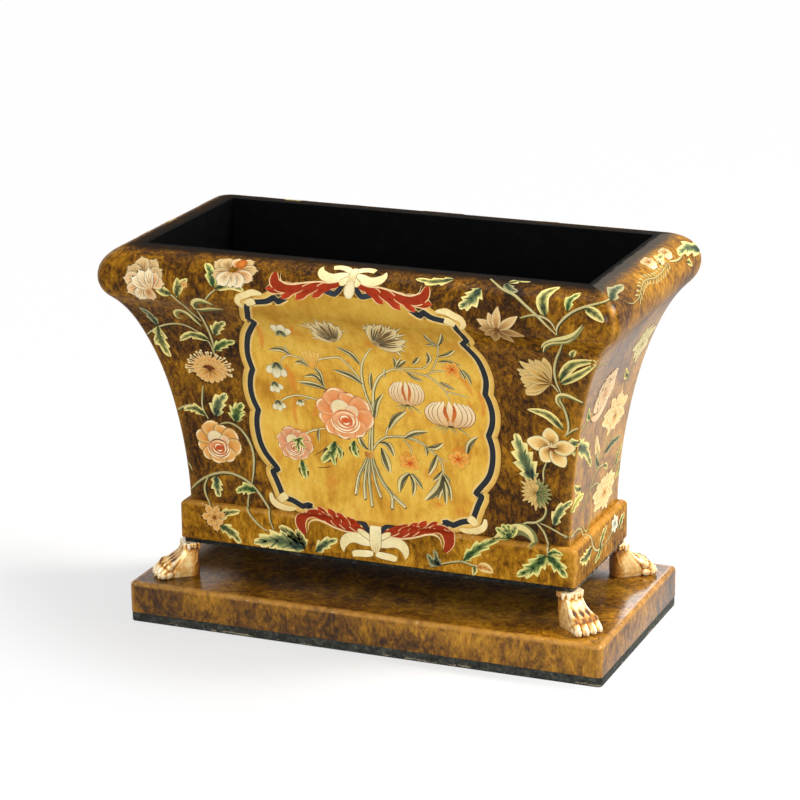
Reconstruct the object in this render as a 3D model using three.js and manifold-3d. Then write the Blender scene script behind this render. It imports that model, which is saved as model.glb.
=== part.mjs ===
// A painted wooden jardiniere: a flared rectangular vase on four gilt lion's paws and a rectangular plinth.
//
// The body is a box of four shaped side boards, mitred at the corners. Their outside is a long hollow curve
// that ends in a rounded rim, and their inside is upright below the rim and then follows the curve down to
// the floor. A low moulding is planted round the foot of the box, and a thin black board closes it from below
// and carries the paws. The plinth is a board with softened edges on an ebonised band. Wood screws hold the
// paws.
//
// Millimetres. X runs along the length, Y to the back and Z up, from the middle of the plinth's underside.

import * as THREE from "three";
import { mergeVertices } from "three/addons/utils/BufferGeometryUtils.js";
import Module from "manifold-3d";

const wasm = await Module();
wasm.setup();

// Body, outside of the side boards where they are narrowest.
const waistLength = 323;
const waistWidth = 117;
const sideHeight = 246.4;
const sideWall = 10;

// Rim: how far it stands out past the waist, its round, and the flat land from the round to the opening.
const flare = 52;
const rollRadius = 23;
const rimLand = 9;

// Hollow curve from the foot moulding to the rim's round, as the two handles of one cubic curve and the
// angle below the horizontal at which it runs into the round.
const curveFootHandle = 34;
const curveRimHandle = 47;
const curveRimAngle = THREE.MathUtils.degToRad(48);

// Moulding planted round the foot of the body.
const footMouldingHeight = 31;
const footMouldingThickness = 5.8;
const footMouldingRound = 4;

// Boards that close the body from below.
const floorThickness = 8;
const underBoardThickness = 4;
const underBoardInset = 1.5;
const underBoardCornerRadius = 4;

// Paws: an upright leg that hollows down to the instep, in a frame with the toes along +X, the sole at nought
// and the leg's middle at the origin. They point a little nearer the length than the diagonal.
const pawHeight = 28;
const pawSetback = 8;
const pawTurn = THREE.MathUtils.degToRad(38);
const legDepth = 12;
const legWidth = 17.6;
const legRadius = 4;
const heelWidth = 16.4;
const footReach = 19;
const footWidth = 23;
const footThickness = 10.5;
const instepHandle = 9;
const soleRound = 0.8;
const cuffHeight = 5;
const cuffFlare = 0.9;
const tuftRadius = 2;
const tuftDrop = 4.2;

// Toes, each a ridge from the ankle over the instep to a knuckle, a pad and a claw. The middle ones lead, and
// the ridges gather towards the ankle to these shares of the toes' pitch.
const toeCount = 4;
const toePitch = 6;
const middleToeLead = 1.5;
const ankleGather = 0.62;
const instepGather = 0.84;
const ridgeRadius = 2;
const ridgeTop = 19;
const knuckleReach = 19;
const knuckleHeight = 9.6;
const knuckleRadius = 3;
const padReach = 22.6;
const padHeight = 4.3;
const padRadius = 3.2;
const clawReach = 28.6;
const clawHeight = 5.4;
const clawTop = 7.4;
const clawRadius = 1.1;

// Plinth.
const plinthLength = 400;
const plinthWidth = 191;
const plinthThickness = 26;
const plinthEdgeRadius = 3.5;
const plinthCornerRadius = 4;
const bandThickness = 7.6;
const bandInset = 0.4;

// Wood screws, one up through the plinth and one down through the under board into every paw.
const screwRadius = 1.7;
const screwHeadRadius = 3.5;
const screwHeadHeight = 2.4;
const screwTipHeight = 4;
const screwGrip = 10;
const screwHeadSink = 0.4;
const slotWidth = 0.9;
const slotDepth = 0.9;

// Clearances: what is glued or seated, and a screw in its hole.
const seatGap = 0.3;
const holeGap = 0.3;

// Fineness of the round shapes.
const curveSteps = 22;
const roundSteps = 16;
const cornerSteps = 5;
const edgeSteps = 4;
const screwSides = 16;
const instepSteps = 6;
const eggSides = 8;

// Colours as painted.
const paint = new THREE.MeshStandardMaterial({ color: 0x7a5120, roughness: 0.3, metalness: 0 });
const plinthPaint = new THREE.MeshStandardMaterial({ color: 0x75491f, roughness: 0.32, metalness: 0 });
const black = new THREE.MeshStandardMaterial({ color: 0x15130f, roughness: 0.45, metalness: 0 });
const ebonised = new THREE.MeshStandardMaterial({ color: 0x24241f, roughness: 0.5, metalness: 0 });
const gilt = new THREE.MeshStandardMaterial({ color: 0xc79a4a, roughness: 0.3, metalness: 0.9 });
const steel = new THREE.MeshStandardMaterial({ color: 0x8a8478, roughness: 0.4, metalness: 0.9 });

// Heights that follow from the sizes above.
const plinthTop = bandThickness + plinthThickness;
const underBoardBase = plinthTop + pawHeight;
const bodyBase = underBoardBase + underBoardThickness;
const openingOffset = flare - rollRadius - rimLand;

function mesh(name, geometry, material) {
  const made = new THREE.Mesh(geometry, material);
  made.name = name;
  return made;
}

// A closed geometry as a solid that can be cut and joined.
function solid(geometry) {
  const bare = new THREE.BufferGeometry();
  bare.setAttribute("position", geometry.getAttribute("position"));
  if (geometry.index) {
    bare.setIndex(geometry.index);
  }
  const merged = mergeVertices(bare, 1e-4);
  return new wasm.Manifold(
    new wasm.Mesh({
      numProp: 3,
      vertProperties: new Float32Array(merged.attributes.position.array),
      triVerts: new Uint32Array(merged.index.array),
    }),
  );
}

function geometryOf(manifold) {
  const made = manifold.getMesh();
  const geometry = new THREE.BufferGeometry();
  geometry.setAttribute("position", new THREE.BufferAttribute(new Float32Array(made.vertProperties), 3));
  geometry.setIndex(new THREE.BufferAttribute(new Uint32Array(made.triVerts), 1));
  geometry.computeVertexNormals();
  return geometry;
}

// A solid through rings of points, one ring for each level, with flat ends. Rings run anticlockwise seen
// from above and the levels go up.
function loft(rings) {
  const count = rings[0].length;
  const places = rings.flat().flatMap((point) => [point.x, point.y, point.z]);
  const faces = [];
  for (let level = 0; level + 1 < rings.length; level += 1) {
    for (let i = 0; i < count; i += 1) {
      const next = (i + 1) % count;
      const low = level * count;
      const high = low + count;
      faces.push(low + i, low + next, high + next, low + i, high + next, high + i);
    }
  }
  const top = (rings.length - 1) * count;
  for (let i = 1; i + 1 < count; i += 1) {
    faces.push(0, i + 1, i, top, top + i, top + i + 1);
  }
  const geometry = new THREE.BufferGeometry();
  geometry.setAttribute("position", new THREE.Float32BufferAttribute(places, 3));
  geometry.setIndex(faces);
  geometry.computeVertexNormals();
  return geometry;
}

// A rectangle with round corners as a ring of points at one height, centred at middleX.
function roundedRing(length, width, radius, height, middleX = 0) {
  const corners = [
    [1, 1],
    [-1, 1],
    [-1, -1],
    [1, -1],
  ];
  return corners.flatMap(([sideX, sideY], corner) => {
    const centreX = middleX + sideX * (length / 2 - radius);
    const centreY = sideY * (width / 2 - radius);
    const points = [];
    for (let i = 0; i <= cornerSteps; i += 1) {
      const angle = (corner + i / cornerSteps) * (Math.PI / 2);
      const x = centreX + radius * Math.cos(angle);
      const y = centreY + radius * Math.sin(angle);
      points.push(new THREE.Vector3(x, y, height));
    }
    return points;
  });
}

// The section of a side board: x is the distance out from the waist and y the height above the under board.
function sideSection() {
  const roundCentre = new THREE.Vector2(flare - rollRadius, sideHeight - rollRadius);
  const meet = new THREE.Vector2(
    roundCentre.x + rollRadius * Math.cos(curveRimAngle),
    roundCentre.y - rollRadius * Math.sin(curveRimAngle),
  );
  const foot = new THREE.Vector2(0, footMouldingHeight);
  const hollow = new THREE.CubicBezierCurve(
    foot,
    new THREE.Vector2(foot.x, foot.y + curveFootHandle),
    new THREE.Vector2(
      meet.x - curveRimHandle * Math.sin(curveRimAngle),
      meet.y - curveRimHandle * Math.cos(curveRimAngle),
    ),
    meet,
  );
  const outside = hollow.getPoints(curveSteps);
  const shape = new THREE.Shape();
  shape.moveTo(-sideWall, 0);
  shape.lineTo(0, 0);
  outside.forEach((point) => shape.lineTo(point.x, point.y));
  for (let i = 1; i <= roundSteps; i += 1) {
    const angle = -curveRimAngle + (i / roundSteps) * (Math.PI / 2 + curveRimAngle);
    const out = roundCentre.x + rollRadius * Math.cos(angle);
    shape.lineTo(out, roundCentre.y + rollRadius * Math.sin(angle));
  }
  shape.lineTo(openingOffset, sideHeight);
  // The inside keeps the wall's thickness from the outside as far up as the opening, and is upright above.
  const upright = outside.findLast((point) => point.x - sideWall < openingOffset);
  const above = outside[outside.indexOf(upright) + 1];
  const share = (openingOffset + sideWall - upright.x) / (above.x - upright.x);
  shape.lineTo(openingOffset, upright.y + share * (above.y - upright.y));
  outside
    .slice(0, outside.indexOf(upright) + 1)
    .reverse()
    .forEach((point) => shape.lineTo(point.x - sideWall, point.y));
  return shape;
}

// The section of the foot moulding, with x out from the waist.
function footMouldingSection() {
  const shape = new THREE.Shape();
  const outer = seatGap + footMouldingThickness;
  shape.moveTo(seatGap, 0);
  shape.lineTo(outer, 0);
  shape.lineTo(outer, footMouldingHeight - footMouldingRound);
  for (let i = 1; i <= edgeSteps; i += 1) {
    const angle = (i / edgeSteps) * (Math.PI / 2);
    shape.lineTo(
      outer - footMouldingRound * (1 - Math.cos(angle)),
      footMouldingHeight - footMouldingRound * (1 - Math.sin(angle)),
    );
  }
  shape.lineTo(seatGap, footMouldingHeight);
  return shape;
}

// One side of a rectangular frame with its ends mitred. The section faces +Y, and reference is the length
// of this side on the frame's own rectangle, where the section's x is nought.
function mitredSide(section, reference) {
  const geometry = new THREE.ExtrudeGeometry(section, { depth: 1, steps: 1, bevelEnabled: false });
  const place = geometry.getAttribute("position");
  for (let i = 0; i < place.count; i += 1) {
    const outwards = place.getX(i);
    const height = place.getY(i);
    const end = place.getZ(i) > 0.5 ? 1 : -1;
    place.setXYZ(i, end * (reference / 2 + outwards - seatGap / 2), outwards, height);
  }
  geometry.computeVertexNormals();
  return geometry;
}

// The four mitred sides of a frame on a rectangle of the waist's size, at one height.
function mitredFrame(name, section, height, material) {
  const frame = new THREE.Group();
  const sides = [
    ["back", waistLength, waistWidth, 0],
    ["front", waistLength, waistWidth, Math.PI],
    ["right", waistWidth, waistLength, -Math.PI / 2],
    ["left", waistWidth, waistLength, Math.PI / 2],
  ];
  sides.forEach(([side, reference, across, turn]) => {
    const piece = mesh(name + "_" + side, mitredSide(section, reference), material);
    piece.position.y = across / 2;
    const arm = new THREE.Group();
    arm.rotation.z = turn;
    arm.add(piece);
    frame.add(arm);
  });
  frame.position.z = height;
  return frame;
}

// A countersunk wood screw along +Z, its head's face at nought and its tip at the given length.
function screwGeometry(length) {
  const profile = [
    [0, 0],
    [screwHeadRadius, 0],
    [screwRadius, screwHeadHeight],
    [screwRadius, length - screwTipHeight],
    [0, length],
  ].map(([radius, height]) => new THREE.Vector2(radius, height));
  const turned = new THREE.LatheGeometry(profile, screwSides).rotateX(Math.PI / 2);
  const slot = new THREE.BoxGeometry(3 * screwHeadRadius, slotWidth, 2 * slotDepth);
  return geometryOf(solid(turned).subtract(solid(slot)));
}

// The hole of such a screw, from an inlet of its head's size to a blind end past its tip.
function screwHole(length) {
  const radius = screwRadius + holeGap;
  const headRadius = screwHeadRadius + holeGap;
  const profile = [
    [0, -screwHeadSink - 1],
    [headRadius, -screwHeadSink - 1],
    [headRadius, 0],
    [radius, screwHeadHeight + holeGap],
    [radius, length + holeGap],
    [0, length + holeGap],
  ].map(([r, height]) => new THREE.Vector2(r, height));
  return solid(new THREE.LatheGeometry(profile, screwSides).rotateX(Math.PI / 2));
}

// Lengths of the two screws, and where each one's head lies.
const plinthScrewLength = plinthTop - screwHeadSink + screwGrip;
const footScrewLength = underBoardThickness - screwHeadSink + screwGrip;
const plinthScrewBase = screwHeadSink;
const footScrewTop = bodyBase - screwHeadSink;

// An egg-shaped solid, for the soft forms of the paw.
function egg([x, y, z], [radiusX, radiusY, radiusZ]) {
  const ball = new THREE.SphereGeometry(1, eggSides, eggSides / 2);
  ball.scale(radiusX, radiusY, radiusZ);
  ball.translate(x, y, z);
  return solid(ball);
}

// The level section of a paw's leg or foot, wider in front than at the heel.
function pawRing(front, back, frontWidth, backWidth, height) {
  const ring = roundedRing(front - back, backWidth, legRadius, height, (front + back) / 2);
  ring.forEach((point) => {
    point.y *= 1 + (frontWidth / backWidth - 1) * ((point.x - back) / (front - back));
  });
  return ring;
}

// The leg and the foot of a paw without its toes, up to the cuff.
function legSolid() {
  const heel = -legDepth / 2;
  const cuffBase = pawHeight - cuffHeight;
  const instep = new THREE.CubicBezierCurve(
    new THREE.Vector2(footReach, footThickness),
    new THREE.Vector2(footReach - instepHandle, footThickness + instepHandle / 4),
    new THREE.Vector2(legDepth / 2, cuffBase - instepHandle / 2),
    new THREE.Vector2(legDepth / 2, cuffBase),
  ).getPoints(instepSteps);
  const rings = [
    pawRing(footReach - soleRound, heel + soleRound, footWidth - soleRound, heelWidth - soleRound, 0),
    pawRing(footReach, heel, footWidth, heelWidth, footThickness / 3),
  ];
  instep.forEach((point) => {
    const up = (point.y - footThickness) / (cuffBase - footThickness);
    const frontWidth = footWidth + (legWidth - footWidth) * Math.sqrt(up);
    const backWidth = heelWidth + (legWidth - heelWidth) * up;
    rings.push(pawRing(point.x, heel, frontWidth, backWidth, point.y));
  });
  [0.5, 1].forEach((share) => {
    const flared = cuffFlare * share;
    const width = legWidth + 2 * flared;
    rings.push(pawRing(legDepth / 2 + flared, heel - flared, width, width, cuffBase + share * cuffHeight));
  });
  return solid(loft(rings));
}

// One toe: aside counts the toes from the middle, and ahead is how far this one leads. The ridges run
// together at the top and at the knuckles, and leave a hollow between them on the instep.
function toeSolid(aside, ahead) {
  const y = aside * toePitch;
  const hull = wasm.Manifold.hull;
  const ridge = [ridgeRadius, ridgeRadius, ridgeRadius];
  const joint = [knuckleRadius, knuckleRadius, knuckleRadius];
  const rootRadius = 1.8 * clawRadius;
  const ankle = egg([legDepth / 2, y * ankleGather, ridgeTop], ridge);
  const instepReach = (legDepth / 2 + knuckleReach) / 2;
  const instep = egg([instepReach, y * instepGather, (ridgeTop + knuckleHeight) / 2], ridge);
  const knuckle = egg([knuckleReach + ahead, y, knuckleHeight], joint);
  const heelOfPad = egg([knuckleReach + ahead, y, padHeight], [padRadius, padRadius, padHeight]);
  const pad = egg([padReach + ahead, y, padHeight], [padRadius, padRadius, padHeight]);
  const root = egg([padReach + ahead + rootRadius, y, clawTop], [rootRadius, rootRadius, rootRadius]);
  const claw = egg([clawReach + ahead, y, clawHeight], [clawRadius, clawRadius, clawRadius]);
  return wasm.Manifold.union([
    hull([ankle, instep]),
    hull([instep, knuckle]),
    hull([knuckle, heelOfPad]),
    hull([heelOfPad, pad]),
    hull([root, claw]),
  ]);
}

// The tufts of fur that hang from the cuff, round the front and the sides.
function tuftSolids() {
  const places = [-1, 0, 1].map((aside) => [legDepth / 2, (aside * legWidth) / 3]);
  [-1, 1].forEach((side) => {
    places.push([legDepth / 5, (side * legWidth) / 2], [-legDepth / 5, (side * legWidth) / 2]);
  });
  const tip = tuftRadius / 4;
  return places.map(([x, y]) =>
    wasm.Manifold.hull([
      egg([x, y, pawHeight - tuftRadius / 2], [tuftRadius, tuftRadius, tuftRadius]),
      egg([x, y, pawHeight - tuftRadius - tuftDrop], [tip, tip, tip]),
    ]),
  );
}

// The whole paw, with the holes of its two screws.
function pawGeometry() {
  const toes = [];
  for (let toe = 0; toe < toeCount; toe += 1) {
    const aside = toe - (toeCount - 1) / 2;
    const lead = middleToeLead * (1 - (aside / ((toeCount - 1) / 2)) ** 2);
    toes.push(toeSolid(aside, lead));
  }
  const whole = wasm.Manifold.union([legSolid(), ...toes, ...tuftSolids()]);
  const room = new THREE.BoxGeometry(4 * clawReach, 4 * clawReach, pawHeight);
  room.translate(0, 0, pawHeight / 2);
  const holes = [
    screwHole(plinthScrewLength).translate([0, 0, plinthScrewBase - plinthTop]),
    screwHole(footScrewLength).rotate([180, 0, 0]).translate([0, 0, footScrewTop - plinthTop]),
  ];
  return geometryOf(holes.reduce((left, hole) => left.subtract(hole), whole.intersect(solid(room))));
}

// The corners, and where each paw's leg stands: back along the diagonal from the foot moulding's corner.
const cornerX = waistLength / 2 + seatGap + footMouldingThickness;
const cornerY = waistWidth / 2 + seatGap + footMouldingThickness;
const setback = pawSetback * Math.SQRT1_2;
const corners = [
  ["front_left", -1, -1],
  ["front_right", 1, -1],
  ["back_right", 1, 1],
  ["back_left", -1, 1],
].map(([corner, sideX, sideY]) => ({
  corner,
  x: sideX * (cornerX - setback),
  y: sideY * (cornerY - setback),
  turn: Math.atan2(sideY * Math.sin(pawTurn), sideX * Math.cos(pawTurn)),
}));

// The same hole at every corner, cut out of a board.
function drilled(board, hole) {
  const cut = (left, { x, y }) => left.subtract(hole.translate([x, y, 0]));
  return geometryOf(corners.reduce(cut, solid(board)));
}

// A board with upright sides, and with its upper edge rounded where a radius is given.
function boardGeometry(length, width, cornerRadius, thickness, edgeRadius = 0) {
  const rings = [roundedRing(length, width, cornerRadius, 0)];
  const rounded = edgeRadius > 0 ? edgeSteps : 0;
  for (let i = 0; i <= rounded; i += 1) {
    const angle = rounded ? (i / rounded) * (Math.PI / 2) : 0;
    const inset = edgeRadius * (1 - Math.cos(angle));
    const height = thickness - edgeRadius * (1 - Math.sin(angle));
    rings.push(roundedRing(length - 2 * inset, width - 2 * inset, cornerRadius - inset * 0.8, height));
  }
  return loft(rings);
}

const jardiniere = new THREE.Group();

// Plinth: the ebonised band below, the painted board on it, both drilled for the screws.
const bandLength = plinthLength - 2 * bandInset;
const bandWidth = plinthWidth - 2 * bandInset;
const plinthHole = screwHole(plinthScrewLength).translate([0, 0, plinthScrewBase]);
const band = mesh(
  "plinth_band",
  drilled(boardGeometry(bandLength, bandWidth, plinthCornerRadius, bandThickness), plinthHole),
  ebonised,
);
const plinthBoard = mesh(
  "plinth_board",
  drilled(
    boardGeometry(plinthLength, plinthWidth, plinthCornerRadius, plinthThickness, plinthEdgeRadius),
    plinthHole.translate([0, 0, -bandThickness]),
  ),
  plinthPaint,
);
plinthBoard.position.z = bandThickness;
jardiniere.add(band, plinthBoard);

// Under board, which closes the body and shows as a thin black line below the foot moulding.
const underBoardLength = 2 * (cornerX - underBoardInset);
const underBoardWidth = 2 * (cornerY - underBoardInset);
const footHole = screwHole(footScrewLength)
  .rotate([180, 0, 0])
  .translate([0, 0, footScrewTop - underBoardBase]);
const underBoard = mesh(
  "under_board",
  drilled(
    boardGeometry(underBoardLength, underBoardWidth, underBoardCornerRadius, underBoardThickness),
    footHole,
  ),
  black,
);
underBoard.position.z = underBoardBase;
jardiniere.add(underBoard);

// Floor board, inside the four sides.
const floorBoard = mesh(
  "floor_board",
  boardGeometry(
    waistLength - 2 * (sideWall + seatGap),
    waistWidth - 2 * (sideWall + seatGap),
    seatGap,
    floorThickness,
  ),
  black,
);
floorBoard.position.z = bodyBase;
jardiniere.add(floorBoard);

// Side boards and foot moulding, each a mitred frame of four.
jardiniere.add(mitredFrame("side", sideSection(), bodyBase, paint));
jardiniere.add(mitredFrame("foot_moulding", footMouldingSection(), bodyBase, paint));

// Paws and their screws.
const paw = pawGeometry();
const plinthScrew = screwGeometry(plinthScrewLength);
const footScrew = screwGeometry(footScrewLength);
corners.forEach(({ corner, x, y, turn }) => {
  const foot = mesh("paw_foot_" + corner, paw, gilt);
  foot.position.set(x, y, plinthTop);
  foot.rotation.z = turn;
  const lower = mesh("plinth_screw_" + corner, plinthScrew, steel);
  lower.position.set(x, y, plinthScrewBase);
  const upper = mesh("foot_screw_" + corner, footScrew, steel);
  upper.position.set(x, y, footScrewTop);
  upper.rotation.x = Math.PI;
  jardiniere.add(foot, lower, upper);
});

export default jardiniere;
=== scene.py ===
import math
import random

import bmesh
import bpy
from mathutils import Matrix, Vector


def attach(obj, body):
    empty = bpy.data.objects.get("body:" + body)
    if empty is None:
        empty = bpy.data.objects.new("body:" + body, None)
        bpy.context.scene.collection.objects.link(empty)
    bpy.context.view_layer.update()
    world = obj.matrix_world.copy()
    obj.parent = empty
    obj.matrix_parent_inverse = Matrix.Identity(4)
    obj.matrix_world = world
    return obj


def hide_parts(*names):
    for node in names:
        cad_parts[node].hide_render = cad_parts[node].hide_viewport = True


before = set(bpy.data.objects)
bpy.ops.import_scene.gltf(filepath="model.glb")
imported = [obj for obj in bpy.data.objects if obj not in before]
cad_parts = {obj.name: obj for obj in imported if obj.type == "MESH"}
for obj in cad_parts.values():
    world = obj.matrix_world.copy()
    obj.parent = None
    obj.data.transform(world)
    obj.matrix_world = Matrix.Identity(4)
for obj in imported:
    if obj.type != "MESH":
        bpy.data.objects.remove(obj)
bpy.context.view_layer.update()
bpy.ops.object.select_all(action="DESELECT")

# The camera stands to the right of the front and a little above, at the photograph's angle and distance.
# Its place and turn were fitted to the plinth's corners, the moulding's corners and the rim.
SENSOR_WIDTH = 36.0
PICTURE_WIDTH = 800.0
LENS_IN_PIXELS = 3056.4
CAMERA_PLACE = (0.8786, -2.1433, 0.8984)
CAMERA_RIGHT = Vector((0.92603584, 0.37731087, -0.00970252))
CAMERA_UP = Vector((-0.10318433, 0.27780558, 0.95507961))
lens_data = bpy.data.cameras.new("camera")
lens_data.sensor_width = SENSOR_WIDTH
lens_data.lens = SENSOR_WIDTH * LENS_IN_PIXELS / PICTURE_WIDTH
lens_data.clip_start = 0.1
camera = bpy.data.objects.new("camera", lens_data)
bpy.context.scene.collection.objects.link(camera)
turn = Matrix((CAMERA_RIGHT, CAMERA_UP, CAMERA_RIGHT.cross(CAMERA_UP))).transposed()
camera.matrix_world = Matrix.Translation(CAMERA_PLACE) @ turn.to_4x4()
bpy.context.scene.camera = camera

# The light is a studio's: a soft lamp high at the right and behind, a wider one beside the camera, a weak one
# overhead, a small one behind that glints on the plinth, and a pale room all round.
BODY_MIDDLE = (0.0, 0.0, 0.15)
BODY_RIM = (0.0, 0.0, 0.2)
PLINTH_GLINT = (0.18, 0.02, 0.034)
ROOM_STRENGTH = 0.17
WARM = (1.0, 0.97, 0.92)
WHITE = (1.0, 1.0, 1.0)


def soft_lamp(name, place, aim, size, watts, colour=WHITE):
    """A round lamp that faces its aim."""
    data = bpy.data.lights.new(name, "AREA")
    data.shape = "DISK"
    data.size = size
    data.energy = watts
    data.color = colour
    lamp = bpy.data.objects.new(name, data)
    bpy.context.scene.collection.objects.link(lamp)
    lamp.location = place
    lamp.rotation_euler = (Vector(aim) - Vector(place)).to_track_quat("-Z", "Y").to_euler()
    return lamp


soft_lamp("key_lamp", (1.6, 0.7, 1.8), BODY_MIDDLE, 0.9, 80.0, WARM)
soft_lamp("front_lamp", (0.7, -2.5, 1.25), BODY_MIDDLE, 1.3, 57.0)
soft_lamp("top_lamp", (-0.3, -0.1, 2.4), BODY_RIM, 1.2, 8.0)
glint_lamp = soft_lamp("glint_lamp", (-0.26, 1.8, 0.74), PLINTH_GLINT, 0.22, 1.1)
glint_lamp.visible_camera = False


def linear(colour):
    """A colour written as six hexadecimal digits, as linear light."""
    shares = [int(colour[i : i + 2], 16) / 255.0 for i in (0, 2, 4)]
    return [c / 12.92 if c <= 0.04045 else ((c + 0.055) / 1.055) ** 2.4 for c in shares]


def feed(socket, value):
    """Gives a socket a link, a number or a colour of six hexadecimal digits."""
    if isinstance(value, bpy.types.NodeSocket):
        socket.id_data.links.new(value, socket)
    elif isinstance(value, str):
        socket.default_value = (*linear(value), 1.0)
    else:
        socket.default_value = value


def feed_all(node, **values):
    """Feeds a node's inputs by their names, with an underscore for each space."""
    for key, value in values.items():
        feed(node.inputs[key.replace("_", " ")], value)


def add_node(tree, kind, settings=None, **values):
    """Adds a node to a tree, with its settings and what its inputs are fed."""
    node = tree.nodes.new("ShaderNode" + kind)
    for key, value in (settings or {}).items():
        setattr(node, key, value)
    feed_all(node, **values)
    return node


def add_sum(operation, a, b=0.0, c=0.0, clamp=False):
    """One step of arithmetic on a link and other values."""
    node = add_node(a.id_data, "Math", {"operation": operation, "use_clamp": clamp})
    for socket, value in zip(node.inputs, (a, b, c)):
        feed(socket, value)
    return node.outputs[0]


def times(a, b, more=None, clamp=False):
    """A link times a value, and more added to it if there is more."""
    if more is None:
        return add_sum("MULTIPLY", a, b, clamp=clamp)
    return add_sum("MULTIPLY_ADD", a, b, more, clamp)


def seen_rays(tree):
    """One for the rays that the camera sees by, straight or mirrored, and nought for the others."""
    rays = add_node(tree, "LightPath").outputs
    mirrored = add_sum("MAXIMUM", rays["Is Glossy Ray"], rays["Is Transmission Ray"])
    return add_sum("MAXIMUM", rays["Is Camera Ray"], mirrored)


def mix_shaders(share, a, b):
    """One shader, of a with a share of b."""
    node = add_node(share.id_data, "MixShader")
    for socket, value in zip(node.inputs, (share, a.outputs[0], b.outputs[0])):
        feed(socket, value)
    return node.outputs["Shader"]


room = bpy.data.worlds.new("room")
room.use_nodes = True
tree = room.node_tree
tree.nodes.clear()
room_light = add_node(tree, "Background", Strength=ROOM_STRENGTH)
room_white = add_node(tree, "Background", Color="ffffff", Strength=1.0)
room_shown = mix_shaders(seen_rays(tree), room_light, room_white)
add_node(tree, "OutputWorld", Surface=room_shown)
bpy.context.scene.world = room
bpy.context.scene.view_settings.view_transform = "Standard"

# The floor is a sheet of white paper, much wider than the view. It keeps the object's soft shadow.
# Part of its brightness is its own for the camera, so that it fades into the white room.
PAPER_SIZE = 12.0
PAPER_PLACE = (0.0, 0.0, -0.0002)
PAPER_MIDDLE = (0.09, -0.13, 0.0)
FADE_FROM = 0.25
FADE_TO = 0.41
GLOW_NEAR = 0.6
GLOW_FAR = 0.985
PAPER_LIT = (0.5, 0.5, 0.5, 1.0)
PAPER_SEEN = (0.9, 0.9, 0.9, 1.0)


def ramped(value, low, high, start=0.0, stop=1.0, ease="SMOOTHSTEP"):
    """A step from the start at the low value to the stop at the high value."""
    ends = {"Value": value, "From_Min": low, "From_Max": high, "To_Min": start, "To_Max": stop}
    return add_node(value.id_data, "MapRange", {"interpolation_type": ease}, **ends).outputs["Result"]


def add_mix(share, a, b):
    """The colour a with a share of b."""
    node = add_node(share.id_data, "Mix", {"data_type": "RGBA"})
    for place, value in ((0, share), (6, a), (7, b)):
        feed(node.inputs[place], value)
    return node.outputs[2]


def own_place(tree):
    """The place on the piece, in its Object coordinates."""
    return add_node(tree, "TexCoord").outputs["Object"]


bpy.ops.mesh.primitive_grid_add(x_subdivisions=8, y_subdivisions=8, size=PAPER_SIZE, location=PAPER_PLACE)
paper = bpy.context.object
paper.name = "paper_floor"
paper_finish = bpy.data.materials.new("white_paper")
paper_finish.use_nodes = True
tree = paper_finish.node_tree
shader = tree.nodes["Principled BSDF"]
seen = seen_rays(tree)
colour = add_mix(seen, PAPER_LIT, PAPER_SEEN)
feed_all(shader, Base_Color=colour, Roughness=0.95, Specular_IOR_Level=0.1)
place = add_node(tree, "Mapping", Vector=own_place(tree), Location=PAPER_MIDDLE).outputs["Vector"]
far = add_node(tree, "VectorMath", {"operation": "LENGTH"}, Vector=place).outputs["Value"]
glow_share = times(seen, ramped(far, FADE_FROM, FADE_TO, GLOW_NEAR, GLOW_FAR))
glow = add_node(tree, "Emission", Strength=1.0)
feed_all(tree.nodes["Material Output"], Surface=mix_shaders(glow_share, shader, glow))
paper.data.materials.append(paper_finish)

# The mottled ground is the finish that most of the wood has: ochre paint, stippled over in browns with an
# open brush while wet, and varnished. The node group gives its colour and its brush marks for any piece.
STIPPLE_BROWNS = [
    (0.56, "1c0e03"),
    (0.64, "422706"),
    (0.705, "6a4206"),
    (0.77, "8f600d"),
    (0.85, "b47e1b"),
    (0.95, "d09b38"),
]


def add_ramp(value, stops):
    """A colour ramp through (position, colour) stops."""
    node = add_node(value.id_data, "ValToRGB", Fac=value)
    ramp = node.color_ramp
    while len(ramp.elements) < len(stops):
        ramp.elements.new(0.5)
    for element, (position, colour) in zip(ramp.elements, stops):
        element.position = position
        element.color = (*linear(colour), 1.0)
    return node.outputs["Color"]


def noise(place, scale, detail, roughness, distortion=0.0):
    """A cloudy noise over a place, from nought to one."""
    shape = {"Scale": scale, "Detail": detail, "Roughness": roughness, "Distortion": distortion}
    return add_node(place.id_data, "TexNoise", Vector=place, **shape).outputs["Fac"]


def new_group(name, outputs, inputs=()):
    """A node group with its outputs as (name, kind) and its inputs as (name, kind, value)."""
    group = bpy.data.node_groups.new(name, "ShaderNodeTree")
    for label, kind in outputs:
        group.interface.new_socket(name=label, in_out="OUTPUT", socket_type="NodeSocket" + kind)
    for label, kind, value in inputs:
        socket = group.interface.new_socket(name=label, in_out="INPUT", socket_type="NodeSocket" + kind)
        socket.default_value = value
    given = group.nodes.new("NodeGroupInput").outputs
    return group, given, group.nodes.new("NodeGroupOutput")


def add_group(tree, group, **values):
    """Places a node group in a tree, with what its inputs are fed, and gives its outputs."""
    node = add_node(tree, "Group", {"node_tree": group})
    feed_all(node, **values)
    return node.outputs


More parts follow.
